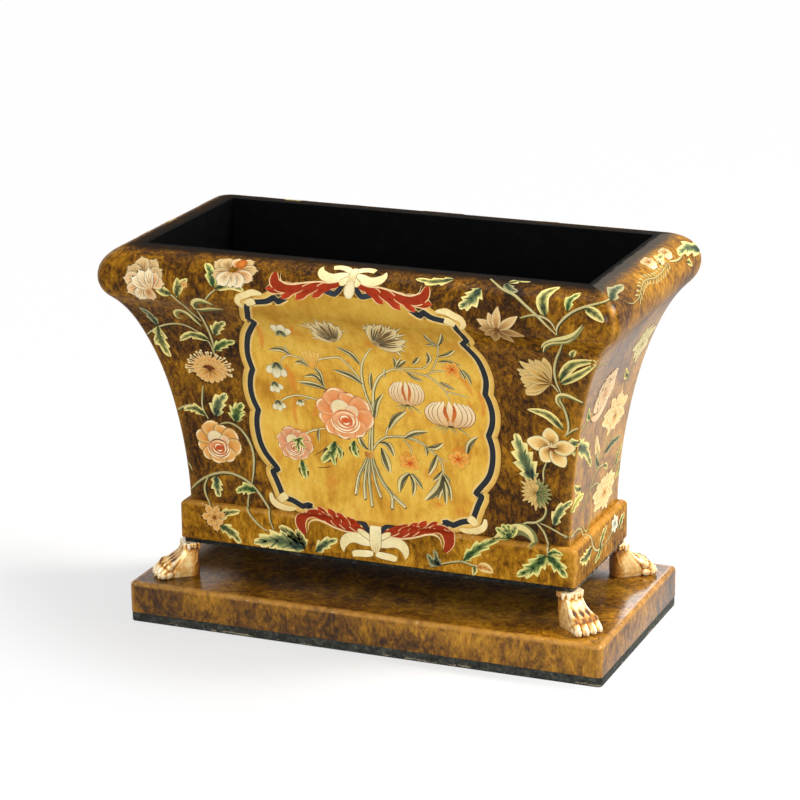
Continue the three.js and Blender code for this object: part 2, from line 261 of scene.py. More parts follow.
stipple, given, result = new_group(
    "mottled_ground",
    [("Color", "Color"), ("Height", "Float"), ("Dark", "Float")],
    [("Dark", "Float", 0.0), ("Fineness", "Float", 1.0)],
)
place = add_node(stipple, "VectorMath", {"operation": "SCALE"}, Vector=own_place(stipple))
feed_all(place, Scale=given["Fineness"])
place = place.outputs["Vector"]
drawn = add_node(stipple, "Mapping", Vector=place, Scale=(1.0, 1.0, 0.55)).outputs["Vector"]
clouds = noise(place, 24.0, 3.0, 0.55, 0.8)
blots = noise(drawn, 120.0, 4.0, 0.62, 2.0)
dabs = noise(drawn, 440.0, 3.0, 0.7, 0.8)
flecks = add_node(stipple, "TexVoronoi", {"feature": "F1"}, Vector=drawn, Scale=620.0, Randomness=1.0)
tone = times(clouds, 0.42, 0.115)
tone = times(blots, 0.4, tone)
tone = times(dabs, 0.36, tone)
tone = add_sum("SUBTRACT", tone, given["Dark"])
fleck_mask = times(add_sum("LESS_THAN", flecks.outputs["Distance"], 0.2), 0.22)
colour = add_mix(fleck_mask, add_ramp(tone, STIPPLE_BROWNS), "2a1604")
feed_all(result, Color=colour, Height=dabs, Dark=tone)


def varnished(name, roughness=0.45, coat=0.06, coat_roughness=0.2, metallic=0.0, specular=0.05):
    """A new material with its tree and shader, under one coat of varnish."""
    finish = bpy.data.materials.new(name)
    finish.use_nodes = True
    tree = finish.node_tree
    shader = tree.nodes["Principled BSDF"]
    feed_all(shader, Roughness=roughness, Metallic=metallic, Specular_IOR_Level=specular)
    feed_all(shader, Coat_Weight=coat, Coat_Roughness=coat_roughness)
    return finish, tree, shader


def add_bump(shader, height, strength, distance):
    """Roughens the shader's surface by a height."""
    bump = add_node(shader.id_data, "Bump", Height=height, Strength=strength, Distance=distance)
    feed_all(shader, Normal=bump.outputs["Normal"])


# Where hands and cloths have rubbed an edge, the ochre shows pale through the brown, broken by the brush
# marks. In a few spots the paint is gone and the wood is bare.
rubbing, given, result = new_group(
    "rubbed_edge", [("Color", "Color")], [("Color", "Color", (0.5, 0.3, 0.1, 1.0)), ("Edge", "Float", 0.0)]
)
place = own_place(rubbing)
rub_mask = times(noise(place, 170.0, 4.0, 0.7), 1.7, -0.62)
rub_mask = add_sum("ADD", rub_mask, 0.25)
rub_mask = times(rub_mask, given["Edge"], clamp=True)
colour = add_mix(rub_mask, given["Color"], "cf9644")
bare_mask = add_sum("GREATER_THAN", noise(place, 330.0, 2.0, 0.6), 0.69)
bare_mask = times(bare_mask, given["Edge"])
bare_mask = add_sum("GREATER_THAN", bare_mask, 0.7)
feed_all(result, Color=add_mix(bare_mask, colour, "cdb487"))

# The four sides are boards of one section, a hollow that ends in a rounded rim, cut to 45 degrees at both
# ends and glued. The outer corners were rounded over before painting, more at the rim than at the foot.
FOOT_UP = 31.0
LAND_UP = 246.4
ROUND_OUT = 29.0
LAND_IN = ROUND_OUT - 9.0
ROUND_RADIUS = 23.0
WALL = 10.0
BODY_BASE = 65.6
HALF_LONG = 161.5
HALF_SHORT = 58.5
CORNER_FOOT = 2.4
CORNER_RIM = 10.0
LOWER_CORNER_RADIUS = 0.4
MM = 0.001
SIDE_NAMES = ("front", "right", "back", "left")


def bezier(a, b, c, d, steps):
    """Points of one cubic curve, without its first."""
    points = []
    for i in range(1, steps + 1):
        t = i / steps
        w = ((1 - t) ** 3, 3 * t * (1 - t) ** 2, 3 * t * t * (1 - t), t**3)
        points.append(tuple(w[0] * a[k] + w[1] * b[k] + w[2] * c[k] + w[3] * d[k] for k in (0, 1)))
    return points


def away(centre, angle, reach, flat=1.0):
    """The point at a distance from a centre, at an angle in degrees. flat squeezes its height."""
    turn = math.radians(angle)
    return centre[0] + reach * math.cos(turn), centre[1] + flat * reach * math.sin(turn)


def arc(centre, radius, start, end, steps):
    """Points of one arc of a circle, without its first, between two angles in degrees."""
    return [away(centre, start + (end - start) * i / steps, radius) for i in range(1, steps + 1)]


hollow = bezier((0.0, FOOT_UP), (0.0, 65.0), (9.46, 174.86), (44.39, 206.31), 92)
rim_round = arc((ROUND_OUT, LAND_UP - ROUND_RADIUS), ROUND_RADIUS, -48.0, 90.0, 40)
outside = [(0.0, FOOT_UP)] + hollow + rim_round


def corner_radius(up):
    """How far the outer corner is rounded over, at a height above the base of the body."""
    t = min(max((up - 165.0) / 62.0, 0.0), 1.0)
    return CORNER_FOOT + (CORNER_RIM - CORNER_FOOT) * t * t * (3.0 - 2.0 * t)


def halves(side):
    """Half the length of a side, and how far it stands from the middle."""
    return (HALF_LONG, HALF_SHORT) if side % 2 == 0 else (HALF_SHORT, HALF_LONG)


def round_corner(half, deep, along, radius):
    """A point of a level outline with rounded corners, reached by going along it from the middle of a side.
    Returns the point as (along the side, outwards) and the direction that faces outwards."""
    sign = -1.0 if along < 0 else 1.0
    rest = abs(along) - (half - radius)
    if rest <= 0:
        return along, deep, 0.0, 1.0
    angle = min(rest / radius, math.pi / 2)
    x = half - radius + radius * math.sin(angle)
    y = deep - radius + radius * math.cos(angle) - max(rest - radius * math.pi / 2, 0.0)
    return sign * x, y, sign * math.sin(angle), math.cos(angle)


def turned(side, x, y):
    """Turns (along, outwards) of side 0 front, 1 right, 2 back, 3 left into the object's x and y."""
    return ((x, -y), (y, x), (-x, y), (-y, -x))[side]


def smooth_faces(piece, angle):
    """Shades a piece smooth but for edges sharper than the angle."""
    bpy.ops.object.select_all(action="DESELECT")
    piece.select_set(True)
    bpy.context.view_layer.objects.active = piece
    bpy.ops.object.shade_smooth_by_angle(angle=math.radians(angle))
    piece.select_set(False)


def distances(path):
    """How far along a path each of its points lies."""
    run = [0.0]
    for a, b in zip(path, path[1:]):
        run.append(run[-1] + math.dist(a, b))
    return run


def mitred_length(name, section, side, finish, outer, inner_finish=None):
    """A length of one section, cut at both ends to 45 degrees. The section is a closed loop of (out, up).
    The first points, as many as outer says, get the rounded outer corner."""
    half, deep = halves(side)
    spans = 56 if side % 2 == 0 else 24
    bends = 7
    points, map_rows, arris = [], [], []
    for row, (out, up) in enumerate(section):
        radius = corner_radius(up) if row < outer else LOWER_CORNER_RADIUS
        straight = half + out - radius
        turns = [-math.pi / 4 * (bends - i) / bends for i in range(bends)]
        stops = [-straight + radius * t for t in turns]
        stops += [straight * (2.0 * i / spans - 1.0) for i in range(spans + 1)]
        stops += [straight - radius * t for t in reversed(turns)]
        for along in stops:
            x, y, _, _ = round_corner(half + out, deep + out, along, radius)
            points.append([value * MM for value in (*turned(side, x, y), BODY_BASE + up)])
            map_rows.append(x)
            from_arris = (half + out - 0.3 * radius - abs(x)) / 1.6
            arris.append(math.exp(-(from_arris**2)) if row < outer else 0.0)
    columns = spans + 1 + 2 * bends
    rows = len(section)
    faces = []
    for row in range(rows):
        after = (row + 1) % rows
        for column in range(columns - 1):
            a, b = row * columns + column, after * columns + column
            faces.append((a, a + 1, b + 1, b))
    faces.append([row * columns for row in range(rows)])
    faces.append([row * columns + columns - 1 for row in reversed(range(rows))])
    mesh = bpy.data.meshes.new(name)
    mesh.from_pydata(points, [], faces)
    mesh.materials.append(finish)
    # The right end carries a mark for the painted light on that side.
    pale = [1.0 if side == 1 else 0.0] * len(points)
    for label, values in (("arris", arris), ("pale", pale)):
        mesh.attributes.new(label, "FLOAT", "POINT").data.foreach_set("value", values)
    if inner_finish:
        mesh.materials.append(inner_finish)
        for face in mesh.polygons[outer * (columns - 1) :]:
            face.material_index = 1
    # The flat map runs along the length and round the section, with the two cut ends beside it.
    flat = mesh.uv_layers.new(name="OFBake")
    reach = 2.0 * (half + max(out for out, up in section)) + 4.0
    run = distances(section + section[:1])
    for face in mesh.polygons[: rows * (columns - 1)]:
        for loop in face.loop_indices:
            vertex = mesh.loops[loop].vertex_index
            row = vertex // columns
            if row == 0 and face.index >= (rows - 1) * (columns - 1):
                row = rows
            across = map_rows[vertex] / reach + 0.5
            flat.data[loop].uv = (0.02 + 0.96 * across, 0.02 + 0.78 * run[row] / run[-1])
    for end, face in enumerate(mesh.polygons[rows * (columns - 1) :]):
        for loop in face.loop_indices:
            out, up = section[mesh.loops[loop].vertex_index // columns]
            flat.data[loop].uv = (0.1 + 0.45 * end + (out + 12.0) / 180.0, 0.82 + up / 1600.0)
    piece = bpy.data.objects.new(name, mesh)
    bpy.context.scene.collection.objects.link(piece)
    smooth_faces(piece, 32.0)
    return piece


def inner_face(steps):
    """The inside of a side, down from the land: upright near the rim, then at the wall's thickness."""
    inner = []
    for a, b in zip(outside, outside[1:]):
        length = math.dist(a, b)
        inner.append((a[0] - WALL * (b[1] - a[1]) / length, a[1] + WALL * (b[0] - a[0]) / length))
    low = [p for p in inner if p[0] < LAND_IN and p[1] < 200.0]
    top = low[-1][1]
    points = [(LAND_IN, LAND_UP + (top - LAND_UP) * i / 5.0) for i in range(5)]
    points += [p for i, p in enumerate(reversed(low)) if i % steps == 0]
    return points + [(-WALL, 0.0)]


def mark(tree, name):
    """The value that a piece carries for each of its points under a name."""
    return add_node(tree, "Attribute", {"attribute_name": name}).outputs["Fac"]


def outside_of(axis, half):
    """How far a place lies beyond half a width, on either side."""
    return add_sum("SUBTRACT", add_sum("ABSOLUTE", axis), half)


black_inside, tree, shader = varnished("worn_black_paint", 0.6, 0.02, 0.3)
place = own_place(tree)
brush_marks = noise(place, 120.0, 4.0, 0.7)
speck_mask = add_sum("GREATER_THAN", noise(place, 520.0, 2.0, 0.6), 0.74)
colour = add_ramp(brush_marks, [(0.4, "010101"), (0.6, "030303"), (0.74, "0c0a08")])
colour = add_mix(times(speck_mask, 0.5), colour, "2e2820")
feed_all(shader, Base_Color=colour)
add_bump(shader, brush_marks, 0.3, 0.0004)
side_finish, tree, shader = varnished("mottled_side_paint", coat_roughness=0.14)
place = own_place(tree)
axes = add_node(tree, "SeparateXYZ", Vector=place).outputs
# The right end's ground is painted paler, most of all low down, as painted light on the side that faces the
# lamp.
painted_light_right_end = mark(tree, "pale")
pale = ramped(axes["Z"], 0.1, 0.29, -0.115, -0.06, "LINEAR")
pale = add_sum("ADD", times(pale, painted_light_right_end), 0.012)
ground = add_group(tree, stipple, Dark=pale, Fineness=0.8)
# The land of the rim is rubbed and darkened by handling, and on the right end it is painted grey as a painted
# reflection. Black from the inside is brushed over its edge.
long_way = outside_of(axes["X"], (HALF_LONG + LAND_IN) * MM)
short_way = outside_of(axes["Y"], (HALF_SHORT + LAND_IN) * MM)
from_inside = add_sum("MAXIMUM", long_way, short_way)
from_inside = times(noise(place, 90.0, 5.0, 0.7), 0.006, from_inside)
on_top = ramped(axes["Z"], 0.303, 0.311)
rubbed = times(ramped(from_inside, 0.024, 0.0125), on_top)
rubbed = times(rubbed, 0.95)
blackened = times(ramped(from_inside, 0.0085, 0.0055), on_top)
edge = times(mark(tree, "arris"), 0.8)
colour = add_group(tree, rubbing, Color=ground["Color"], Edge=edge)["Color"]
# On the right end the rubbed land is painted grey, a painted reflection.
colour = add_mix(rubbed, colour, add_mix(painted_light_right_end, "0c0805", "46433f"))
colour = add_mix(blackened, colour, "060504")
gloss = times(ramped(axes["Z"], 0.275, 0.235), painted_light_right_end)
gloss = times(gloss, 0.42, 0.12)
coat = times(rubbed, -0.12, gloss, clamp=True)
dull = times(rubbed, 0.5, 0.42)
feed_all(shader, Base_Color=colour, Roughness=dull, Coat_Weight=coat)
add_bump(shader, ground["Height"], 0.35, 0.0004)
side_foot = [(0.0, 0.0), (0.0, 16.0)]
side_section = side_foot + outside + inner_face(3)
side_outer = len(side_foot + outside)
for side, side_name in enumerate(SIDE_NAMES):
    name = "painted_side_" + side_name
    board = mitred_length(name, side_section, side, side_finish, side_outer, black_inside)
    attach(board, "root")
    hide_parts("side_" + side_name)

# The low moulding is planted round the foot of the body, mitred at the corners, with its top edge rounded
# over. It is painted with the body, and its top edge is rubbed.
MOULDING_OUT = 6.1
MOULDING_ROUND = 4.0
moulding_face = [(MOULDING_OUT, 3.0 * i) for i in range(10)]
moulding_edge = arc((MOULDING_OUT - MOULDING_ROUND, FOOT_UP - MOULDING_ROUND), MOULDING_ROUND, 0.0, 90.0, 8)
moulding_outer = moulding_face + moulding_edge
moulding_section = moulding_outer + [(0.3, FOOT_UP), (0.3, 0.0)]
moulding_finish, tree, shader = varnished("mottled_moulding_paint")
up = add_node(tree, "SeparateXYZ", Vector=own_place(tree)).outputs["Z"]
# The right end is painted a little paler than the rest, as painted light.
pale = times(mark(tree, "pale"), 0.01, -0.08)
ground = add_group(tree, stipple, Dark=pale, Fineness=0.8)
edge = add_sum("MAXIMUM", ramped(up, 0.0925, 0.0955), mark(tree, "arris"))
feed_all(shader, Base_Color=add_group(tree, rubbing, Color=ground["Color"], Edge=edge)["Color"])
add_bump(shader, ground["Height"], 0.35, 0.0004)
for side, side_name in enumerate(SIDE_NAMES):
    name = "painted_moulding_" + side_name
    length = mitred_length(name, moulding_section, side, moulding_finish, len(moulding_outer))
    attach(length, "root")
    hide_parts("foot_moulding_" + side_name)

# The lion's paws are cast or carved feet under gold leaf: an upright leg with a cuff of hanging tufts, four
# ridged toes with knuckles and blunt claws, and pads under them. One is modelled and copied to the corners,
# where it is screwed to the plinth and to the under board.
PAW_X = 161.94
PAW_Y = 58.94
PLINTH_TOP = 33.6
PAW_TURN = math.radians(38.0)
PAW_HEIGHT = 27.9
TOES = (-1.5, -0.5, 0.5, 1.5)
TOE_PITCH = 6.0
INNER_TOE_LEAD = 1.5
# Each level of the leg and foot: height, heel, front and half width. The first and last are cut away.
LEG_LEVELS = [
    (-0.9, -5.2, 19.6, 8.6),
    (1.2, -6.0, 21.2, 9.6),
    (5.0, -6.0, 22.0, 10.2),
    (7.6, -6.0, 20.4, 10.2),
    (9.4, -6.0, 20.6, 10.2),
    (11.0, -6.0, 19.5, 10.1),
    (12.8, -6.0, 17.3, 9.9),
    (14.8, -6.0, 14.7, 9.6),
    (16.8, -6.0, 12.3, 9.3),
    (18.6, -6.0, 10.5, 9.0),
    (21.0, -6.0, 8.4, 8.7),
    (24.5, -6.0, 6.2, 8.3),
    (PAW_HEIGHT + 1.1, -6.2, 5.6, 8.4),
]
# The tufts of the cuff by their place, drop and radius: five round the front, then four down each side.
FRONT_TUFTS = [
    (6.0, 0.4, 8.4, 2.5),
    (5.6, 5.4, 6.4, 2.2),
    (5.7, -5.0, 7.0, 2.2),
    (6.2, 2.9, 4.4, 1.8),
    (6.2, -2.5, 4.8, 1.8),
]
SIDE_TUFTS = [(3.0, 8.0, 6.6, 2.1), (-1.6, 8.2, 4.9, 2.0), (-5.0, 7.6, 6.2, 1.8), (0.6, 8.5, 3.6, 1.6)]


def egg(centre, radii):
    """An egg-shaped solid in the paw's millimetres, as a mesh of its own."""
    bpy.ops.mesh.primitive_uv_sphere_add(
        segments=20, ring_count=12, radius=MM, location=[c * MM for c in centre], scale=radii
    )
    return bpy.context.object


def horn(*eggs):
    """Eggs drawn together two by two, as a row of tapered lengths."""
    made = []
    for first, second in zip(eggs, eggs[1:]):
        a = egg(*first)
        b = egg(*second)
        a.select_set(True)
        bpy.context.view_layer.objects.active = a
        bpy.ops.object.join()
        bpy.ops.object.mode_set(mode="EDIT")
        bpy.ops.mesh.select_all(action="SELECT")
        bpy.ops.mesh.convex_hull()
        bpy.ops.object.mode_set(mode="OBJECT")
        a.select_set(False)
        made.append(a)
    return made


def ball(x, y, z, radius):
    """A round egg."""
    return (x, y, z), (radius, radius, radius)


def lead_of(toe):
    """How far a toe stands before the outer ones."""
    return INNER_TOE_LEAD if abs(toe) < 1.0 else 0.0


bpy.ops.mesh.primitive_plane_add(size=MM)
paw = bpy.context.object
bpy.ops.object.mode_set(mode="EDIT")
bpy.ops.mesh.bevel(offset=0.3 * MM, segments=6, affect="VERTICES")
height, heel, front, half_width = LEG_LEVELS[0]
bpy.ops.transform.resize(value=(front - heel, 2.0 * half_width, 1.0))
bpy.ops.transform.translate(value=((front + heel) / 2.0 * MM, 0.0, height * MM))
for low, high in zip(LEG_LEVELS, LEG_LEVELS[1:]):
    shift = ((high[2] + high[1]) - (low[2] + low[1])) / 2.0 * MM
    bpy.ops.mesh.extrude_region_move(TRANSFORM_OT_translate={"value": (shift, 0.0, (high[0] - low[0]) * MM)})
    bpy.ops.transform.resize(value=((high[2] - high[1]) / (low[2] - low[1]), high[3] / low[3], 1.0))
bpy.ops.mesh.select_all(action="SELECT")
bpy.ops.mesh.normals_make_consistent(inside=False)
bpy.ops.object.mode_set(mode="OBJECT")
paw.select_set(False)
paw_parts = [paw]
for toe in TOES:
    y = toe * TOE_PITCH
    tip_y = 1.02 * y + math.copysign(0.25, toe)
    claw_y = 1.03 * y + math.copysign(0.25, toe)
    lead = lead_of(toe)
    paw_parts += horn(
        ball(4.6, 0.62 * y, 24.6, 1.8),
        ball(6.4, 0.66 * y, 20.4, 2.15),
        ball(9.2, 0.76 * y, 16.6, 1.85),
        ball(14.0 + 0.5 * lead, 0.9 * y, 12.9, 1.85),
        ball(18.8 + lead, y, 10.4, 2.5),
        ball(22.6 + lead, y, 7.6, 2.7),
        ball(25.8 + lead, tip_y, 4.6, 2.6),
    )
    paw_parts.append(egg((20.2 + lead, y, 9.2), (3.8, 3.1, 3.5)))
    paw_parts.append(egg((25.2 + lead, tip_y, 3.4), (3.6, 2.95, 3.4)))
    paw_parts.append(egg((21.2 + lead, y, 3.4), (4.6, 3.2, 3.8)))
    paw_parts += horn(
        ball(26.0 + lead, tip_y, 5.2, 1.4),
        ball(28.3 + lead, claw_y, 4.2, 1.6),
        ball(28.9 + lead, claw_y, 2.2, 1.1),
    )
# Locks of hair lie along the ankle's sides, and tufts hang from the cuff round the front and the sides.
LOCKS = (
    ((0.6, 7.0, 22.0, 1.6), (3.6, 7.7, 15.0, 1.9), (9.6, 8.3, 8.6, 1.9)),
    ((-3.4, 7.0, 21.0, 1.5), (-2.2, 8.0, 13.0, 1.7), (2.4, 8.7, 5.4, 1.7)),
)
tufts = list(FRONT_TUFTS)
for hand in (-1.0, 1.0):
    for lock in LOCKS:
        paw_parts += horn(*(ball(x, y * hand, z, radius) for x, y, z, radius in lock))
    tufts += [(x, y * hand, drop, radius) for x, y, drop, radius in SIDE_TUFTS]
for x, y, drop, radius in tufts:
    out_x, out_y = x / math.hypot(x, y), y / math.hypot(x, y)
    swell = (x + 0.5 * out_x, y + 0.5 * out_y, PAW_HEIGHT - 0.55 * drop)
    paw_parts += horn(
        ball(x, y, PAW_HEIGHT - 0.8, radius),
        (swell, (0.75 * radius, 0.75 * radius, 0.9 * radius)),
        ball(x - 0.1 * out_x, y - 0.1 * out_y, PAW_HEIGHT - drop, 0.45),
    )
bpy.ops.object.select_all(action="DESELECT")
for piece in paw_parts:
    piece.select_set(True)
bpy.context.view_layer.objects.active = paw
bpy.ops.object.join()
bpy.ops.object.transform_apply(location=True, rotation=True, scale=True)


def finish_with(piece, kind, **settings):
    """Adds one modifier and applies it."""
    modifier = piece.modifiers.new(kind.lower(), kind)
    for key, value in settings.items():
        setattr(modifier, key, value)
    bpy.context.view_layer.objects.active = piece
    bpy.ops.object.modifier_apply(modifier=modifier.name)


finish_with(paw, "REMESH", mode="VOXEL", voxel_size=0.42 * MM)
finish_with(paw, "SMOOTH", factor=0.5, iterations=3)
# The paw is cut level at the sole and at the seat of the under board.
for level, clear in ((0.05, "clear_inner"), (PAW_HEIGHT, "clear_outer")):
    bpy.ops.object.mode_set(mode="EDIT")
    bpy.ops.mesh.select_all(action="SELECT")
    cut = {"plane_co": (0.0, 0.0, level * MM), "plane_no": (0.0, 0.0, 1.0), "threshold": 1e-7, clear: True}
    bpy.ops.mesh.bisect(use_fill=True, **cut)
    bpy.ops.object.mode_set(mode="OBJECT")


def hump(*offsets):
    """A smooth hump, one in its middle, for offsets from it that are shares of its reach."""
    return math.exp(-sum(offset**2 for offset in offsets))


def copied(piece, name):
    """A copy of a piece with its own mesh."""
    twin = piece.copy()
    twin.data = piece.data.copy()
    twin.name = name
    bpy.context.scene.collection.objects.link(twin)
    return twin


# How deep each point lies in a hollow is its distance below a much smoothed copy. The gold is painted pale on
# the ridges and dark in the hollows, partly as dirt kept in the recesses and partly as painted highlight and
# painted shade. It is also painted brown on the toes' tops as wear, and between the ridges and towards the
# heel as painted shade, above a light line that crosses the foot.
smoothed = copied(paw, "smoothed_paw")
finish_with(smoothed, "SMOOTH", factor=0.5, iterations=34)
depth = paw.data.attributes.new("hollow", "FLOAT", "POINT")
for vertex, soft in zip(paw.data.vertices, smoothed.data.vertices):
    x, y, z = (c / MM for c in vertex.co)
    wear_and_painted_light = 0.5 * min(max((3.0 - x) / 8.0, 0.0), 1.0)
    for toe in TOES:
        lead = lead_of(toe)
        if z > 7.0:
            wear_and_painted_light = max(wear_and_painted_light, hump((x - 22.6 - lead) / 2.1, (y - toe * TOE_PITCH) / 1.9))
        if toe < 1.0 and z > 9.0:
            gap = (y - 0.93 * (toe + 0.5) * TOE_PITCH) / 1.5
            wear_and_painted_light = max(wear_and_painted_light, hump((x - 14.6 - 0.6 * lead) / 2.3, gap))
    line = hump((x - 19.0) / 1.1) if z > 8.0 else 0.0
    deep = (soft.co - vertex.co).dot(vertex.normal) / MM
    depth.data[vertex.index].value = deep * (1.0 - 0.7 * line) + 0.5 * wear_and_painted_light
bpy.data.objects.remove(smoothed)


def refinish(piece, finish):
    """Gives a piece one finish, in place of any that it has."""
    piece.data.materials.clear()
    piece.data.materials.append(finish)


gilt, tree, shader = varnished("old_gold_leaf", 0.3, 0.0, specular=0.5)
place = own_place(tree)
rub = noise(place, 260.0, 4.0, 0.65)
# Painted highlight and painted shade: the gold runs from pale on the ridges to dark in the hollows, with dirt
# kept in the recesses.
dirt_and_painted_light = times(rub, 0.36, mark(tree, "hollow"))
dirt_and_painted_light = times(noise(place, 70.0, 3.0, 0.6), 0.22, dirt_and_painted_light)
golds = [(0.12, "fdeecb"), (0.25, "f0cd88"), (0.36, "cf9038"), (0.5, "864e16"), (0.7, "341c08")]
feed_all(shader, Base_Color=add_ramp(dirt_and_painted_light, golds))
feed_all(shader, Metallic=add_ramp(dirt_and_painted_light, [(0.3, "8a8a8a"), (0.62, "202020")]))
feed_all(shader, Roughness=ramped(dirt_and_painted_light, 0.1, 0.6, 0.26, 0.62, "LINEAR"))
add_bump(shader, rub, 0.4, 0.0003)
refinish(paw, gilt)
smooth_faces(paw, 60.0)
CORNERS = {"front_left": (-1, -1), "front_right": (1, -1), "back_right": (1, 1), "back_left": (-1, 1)}
for corner, (side_x, side_y) in CORNERS.items():
    foot = copied(paw, "gilt_paw_" + corner)
    facing = math.atan2(side_y * math.sin(PAW_TURN), side_x * math.cos(PAW_TURN))
    stand = Matrix.Translation((side_x * PAW_X * MM, side_y * PAW_Y * MM, PLINTH_TOP * MM))
    foot.data.transform(stand @ Matrix.Rotation(facing, 4, "Z"))
    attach(foot, "root")
    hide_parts("paw_foot_" + corner)
bpy.data.objects.remove(paw)

# The plinth is one thick board with its edges softened, in the same mottled paint. The varnish on its top is
# glossier than on the body, and its upper edge is rubbed to the ochre.
PLINTH_LONG = 400.0
PLINTH_DEEP = 191.0
PLINTH_LOW = 7.6
PLINTH_EDGE = 3.5
PLINTH_CORNER = 4.0
LOWER_EDGE = 0.6


def soft_board(name, size, low, corner, edge):
    """A board with rounded corners and upper edge."""
    long, deep, thick = size
    middle = (0.0, 0.0, (low + thick / 2.0) * MM)
    bpy.ops.mesh.primitive_cube_add(size=MM, location=middle, scale=(long, deep, thick))
    board = bpy.context.object
    board.name = name
    bpy.ops.object.transform_apply(location=True, rotation=True, scale=True)
    for edges, width, steps in (("upright", corner, 6), ("upper", edge, 7), ("lower", LOWER_EDGE, 2)):
        bpy.ops.object.mode_set(mode="EDIT")
        bpy.ops.mesh.select_mode(type="EDGE")
        bpy.ops.mesh.select_all(action="DESELECT")
        bpy.ops.object.mode_set(mode="OBJECT")
        for line in board.data.edges:
            heights = [board.data.vertices[i].co.z for i in line.vertices]
            if edges == "upright":
                line.select = abs(heights[0] - heights[1]) > 0.5 * thick * MM
            elif edges == "upper":
                line.select = min(heights) > (low + thick - 0.01) * MM
            else:
                line.select = max(heights) < (low + 0.01) * MM
        bpy.ops.object.mode_set(mode="EDIT")
        bpy.ops.mesh.bevel(offset=width * MM, segments=steps, affect="EDGES")
        bpy.ops.object.mode_set(mode="OBJECT")
    smooth_faces(board, 30.0)
    return board


plinth_size = (PLINTH_LONG, PLINTH_DEEP, PLINTH_TOP - PLINTH_LOW)
plinth = soft_board("mottled_plinth", plinth_size, PLINTH_LOW, PLINTH_CORNER, PLINTH_EDGE)
plinth_finish, tree, shader = varnished("mottled_plinth_paint", 0.4, 0.5, 0.19)
ground = add_group(tree, stipple, Dark=-0.02, Fineness=0.6)
axes = add_node(tree, "SeparateXYZ", Vector=own_place(tree)).outputs
out_x = outside_of(axes["X"], PLINTH_LONG / 2.0 * MM)
out_y = outside_of(axes["Y"], PLINTH_DEEP / 2.0 * MM)
near_side = ramped(add_sum("MAXIMUM", out_x, out_y), -0.0062, -0.0026)
near_corner = ramped(add_sum("MINIMUM", out_x, out_y), -0.0052, -0.002)
edge = times(near_side, ramped(axes["Z"], 0.0292, 0.0318))
edge = add_sum("MAXIMUM", edge, near_corner)
colour = add_group(tree, rubbing, Color=ground["Color"], Edge=edge)["Color"]
# Painted shade: under the body the paint is darker, and its varnish duller and less glossy.
under_y = ramped(add_sum("ABSOLUTE", axes["Y"]), 0.068, 0.034)
under_x = ramped(add_sum("ABSOLUTE", axes["X"]), 0.19, 0.165)
painted_shade_under_body = times(under_x, under_y)
colour = add_mix(times(painted_shade_under_body, 0.6), colour, "150b04")
coat = times(painted_shade_under_body, -0.48, 0.5)
dull = times(painted_shade_under_body, 0.45, 0.4)
feed_all(shader, Base_Color=colour, Coat_Weight=coat, Roughness=dull)
add_bump(shader, ground["Height"], 0.3, 0.0004)
refinish(plinth, plinth_finish)
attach(plinth, "root")
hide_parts("plinth_board")

# The band under the plinth is a thin board painted near black, a hair smaller than the plinth, with its paint
# chipped to the pale wood along a line above its lower edge.
BAND_SMALLER = 0.8
BAND_CORNER = 3.8
BAND_EDGE = 0.4
band_size = (PLINTH_LONG - BAND_SMALLER, PLINTH_DEEP - BAND_SMALLER, PLINTH_LOW - 0.02)
band = soft_board("ebonised_band", band_size, 0.0, BAND_CORNER, BAND_EDGE)
band_finish, tree, shader = varnished("ebonised_paint", 0.55, 0.05)
place = own_place(tree)
up = add_node(tree, "SeparateXYZ", Vector=place).outputs["Z"]
chip_place = add_node(tree, "Mapping", Vector=place, Scale=(0.5, 0.5, 1.6)).outputs["Vector"]
brush_marks = noise(place, 300.0, 4.0, 0.75)
chip_line = times(ramped(up, 0.0002, 0.0011), ramped(up, 0.0034, 0.0021))
chip_runs = times(noise(place, 26.0, 2.0, 0.5), 0.7, -0.38)
chip_runs = times(chip_runs, chip_line)
chip_share = times(chip_line, 0.12, chip_runs)
chip_share = add_sum("ADD", noise(chip_place, 430.0, 3.0, 0.7), chip_share)
colour = add_ramp(brush_marks, [(0.36, "23241f"), (0.54, "3b3d38"), (0.7, "605f56")])
colour = add_mix(add_sum("GREATER_THAN", chip_share, 0.7), colour, "877c68")
feed_all(shader, Base_Color=colour)
add_bump(shader, brush_marks, 0.3, 0.0003)
refinish(band, band_finish)
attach(band, "root")
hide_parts("plinth_band")

# The board that closes the body from below keeps its shape from the frame. Its black paint is dusty, and at
# its right end it is painted tan in patches, as painted light on the end that faces the lamp.
under_finish, tree, shader = varnished("dusty_black_paint", 0.6, 0.05)
place = own_place(tree)
dust = noise(place, 210.0, 4.0, 0.7)
ends = ramped(add_node(tree, "SeparateXYZ", Vector=place).outputs["X"], 0.158, 0.164)
wear_and_painted_light = times(ramped(dust, 0.4, 0.62), ends)
colour = add_ramp(dust, [(0.38, "11110f"), (0.55, "232320"), (0.7, "4a443a")])
feed_all(shader, Base_Color=add_mix(wear_and_painted_light, colour, "8d7c66"))
add_bump(shader, dust, 0.3, 0.0003)
refinish(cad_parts["under_board"], under_finish)

# The floor of the well is a board let in between the sides. It keeps its shape from the frame, and has the
# black paint of the inside.
refinish(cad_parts["floor_board"], black_inside)

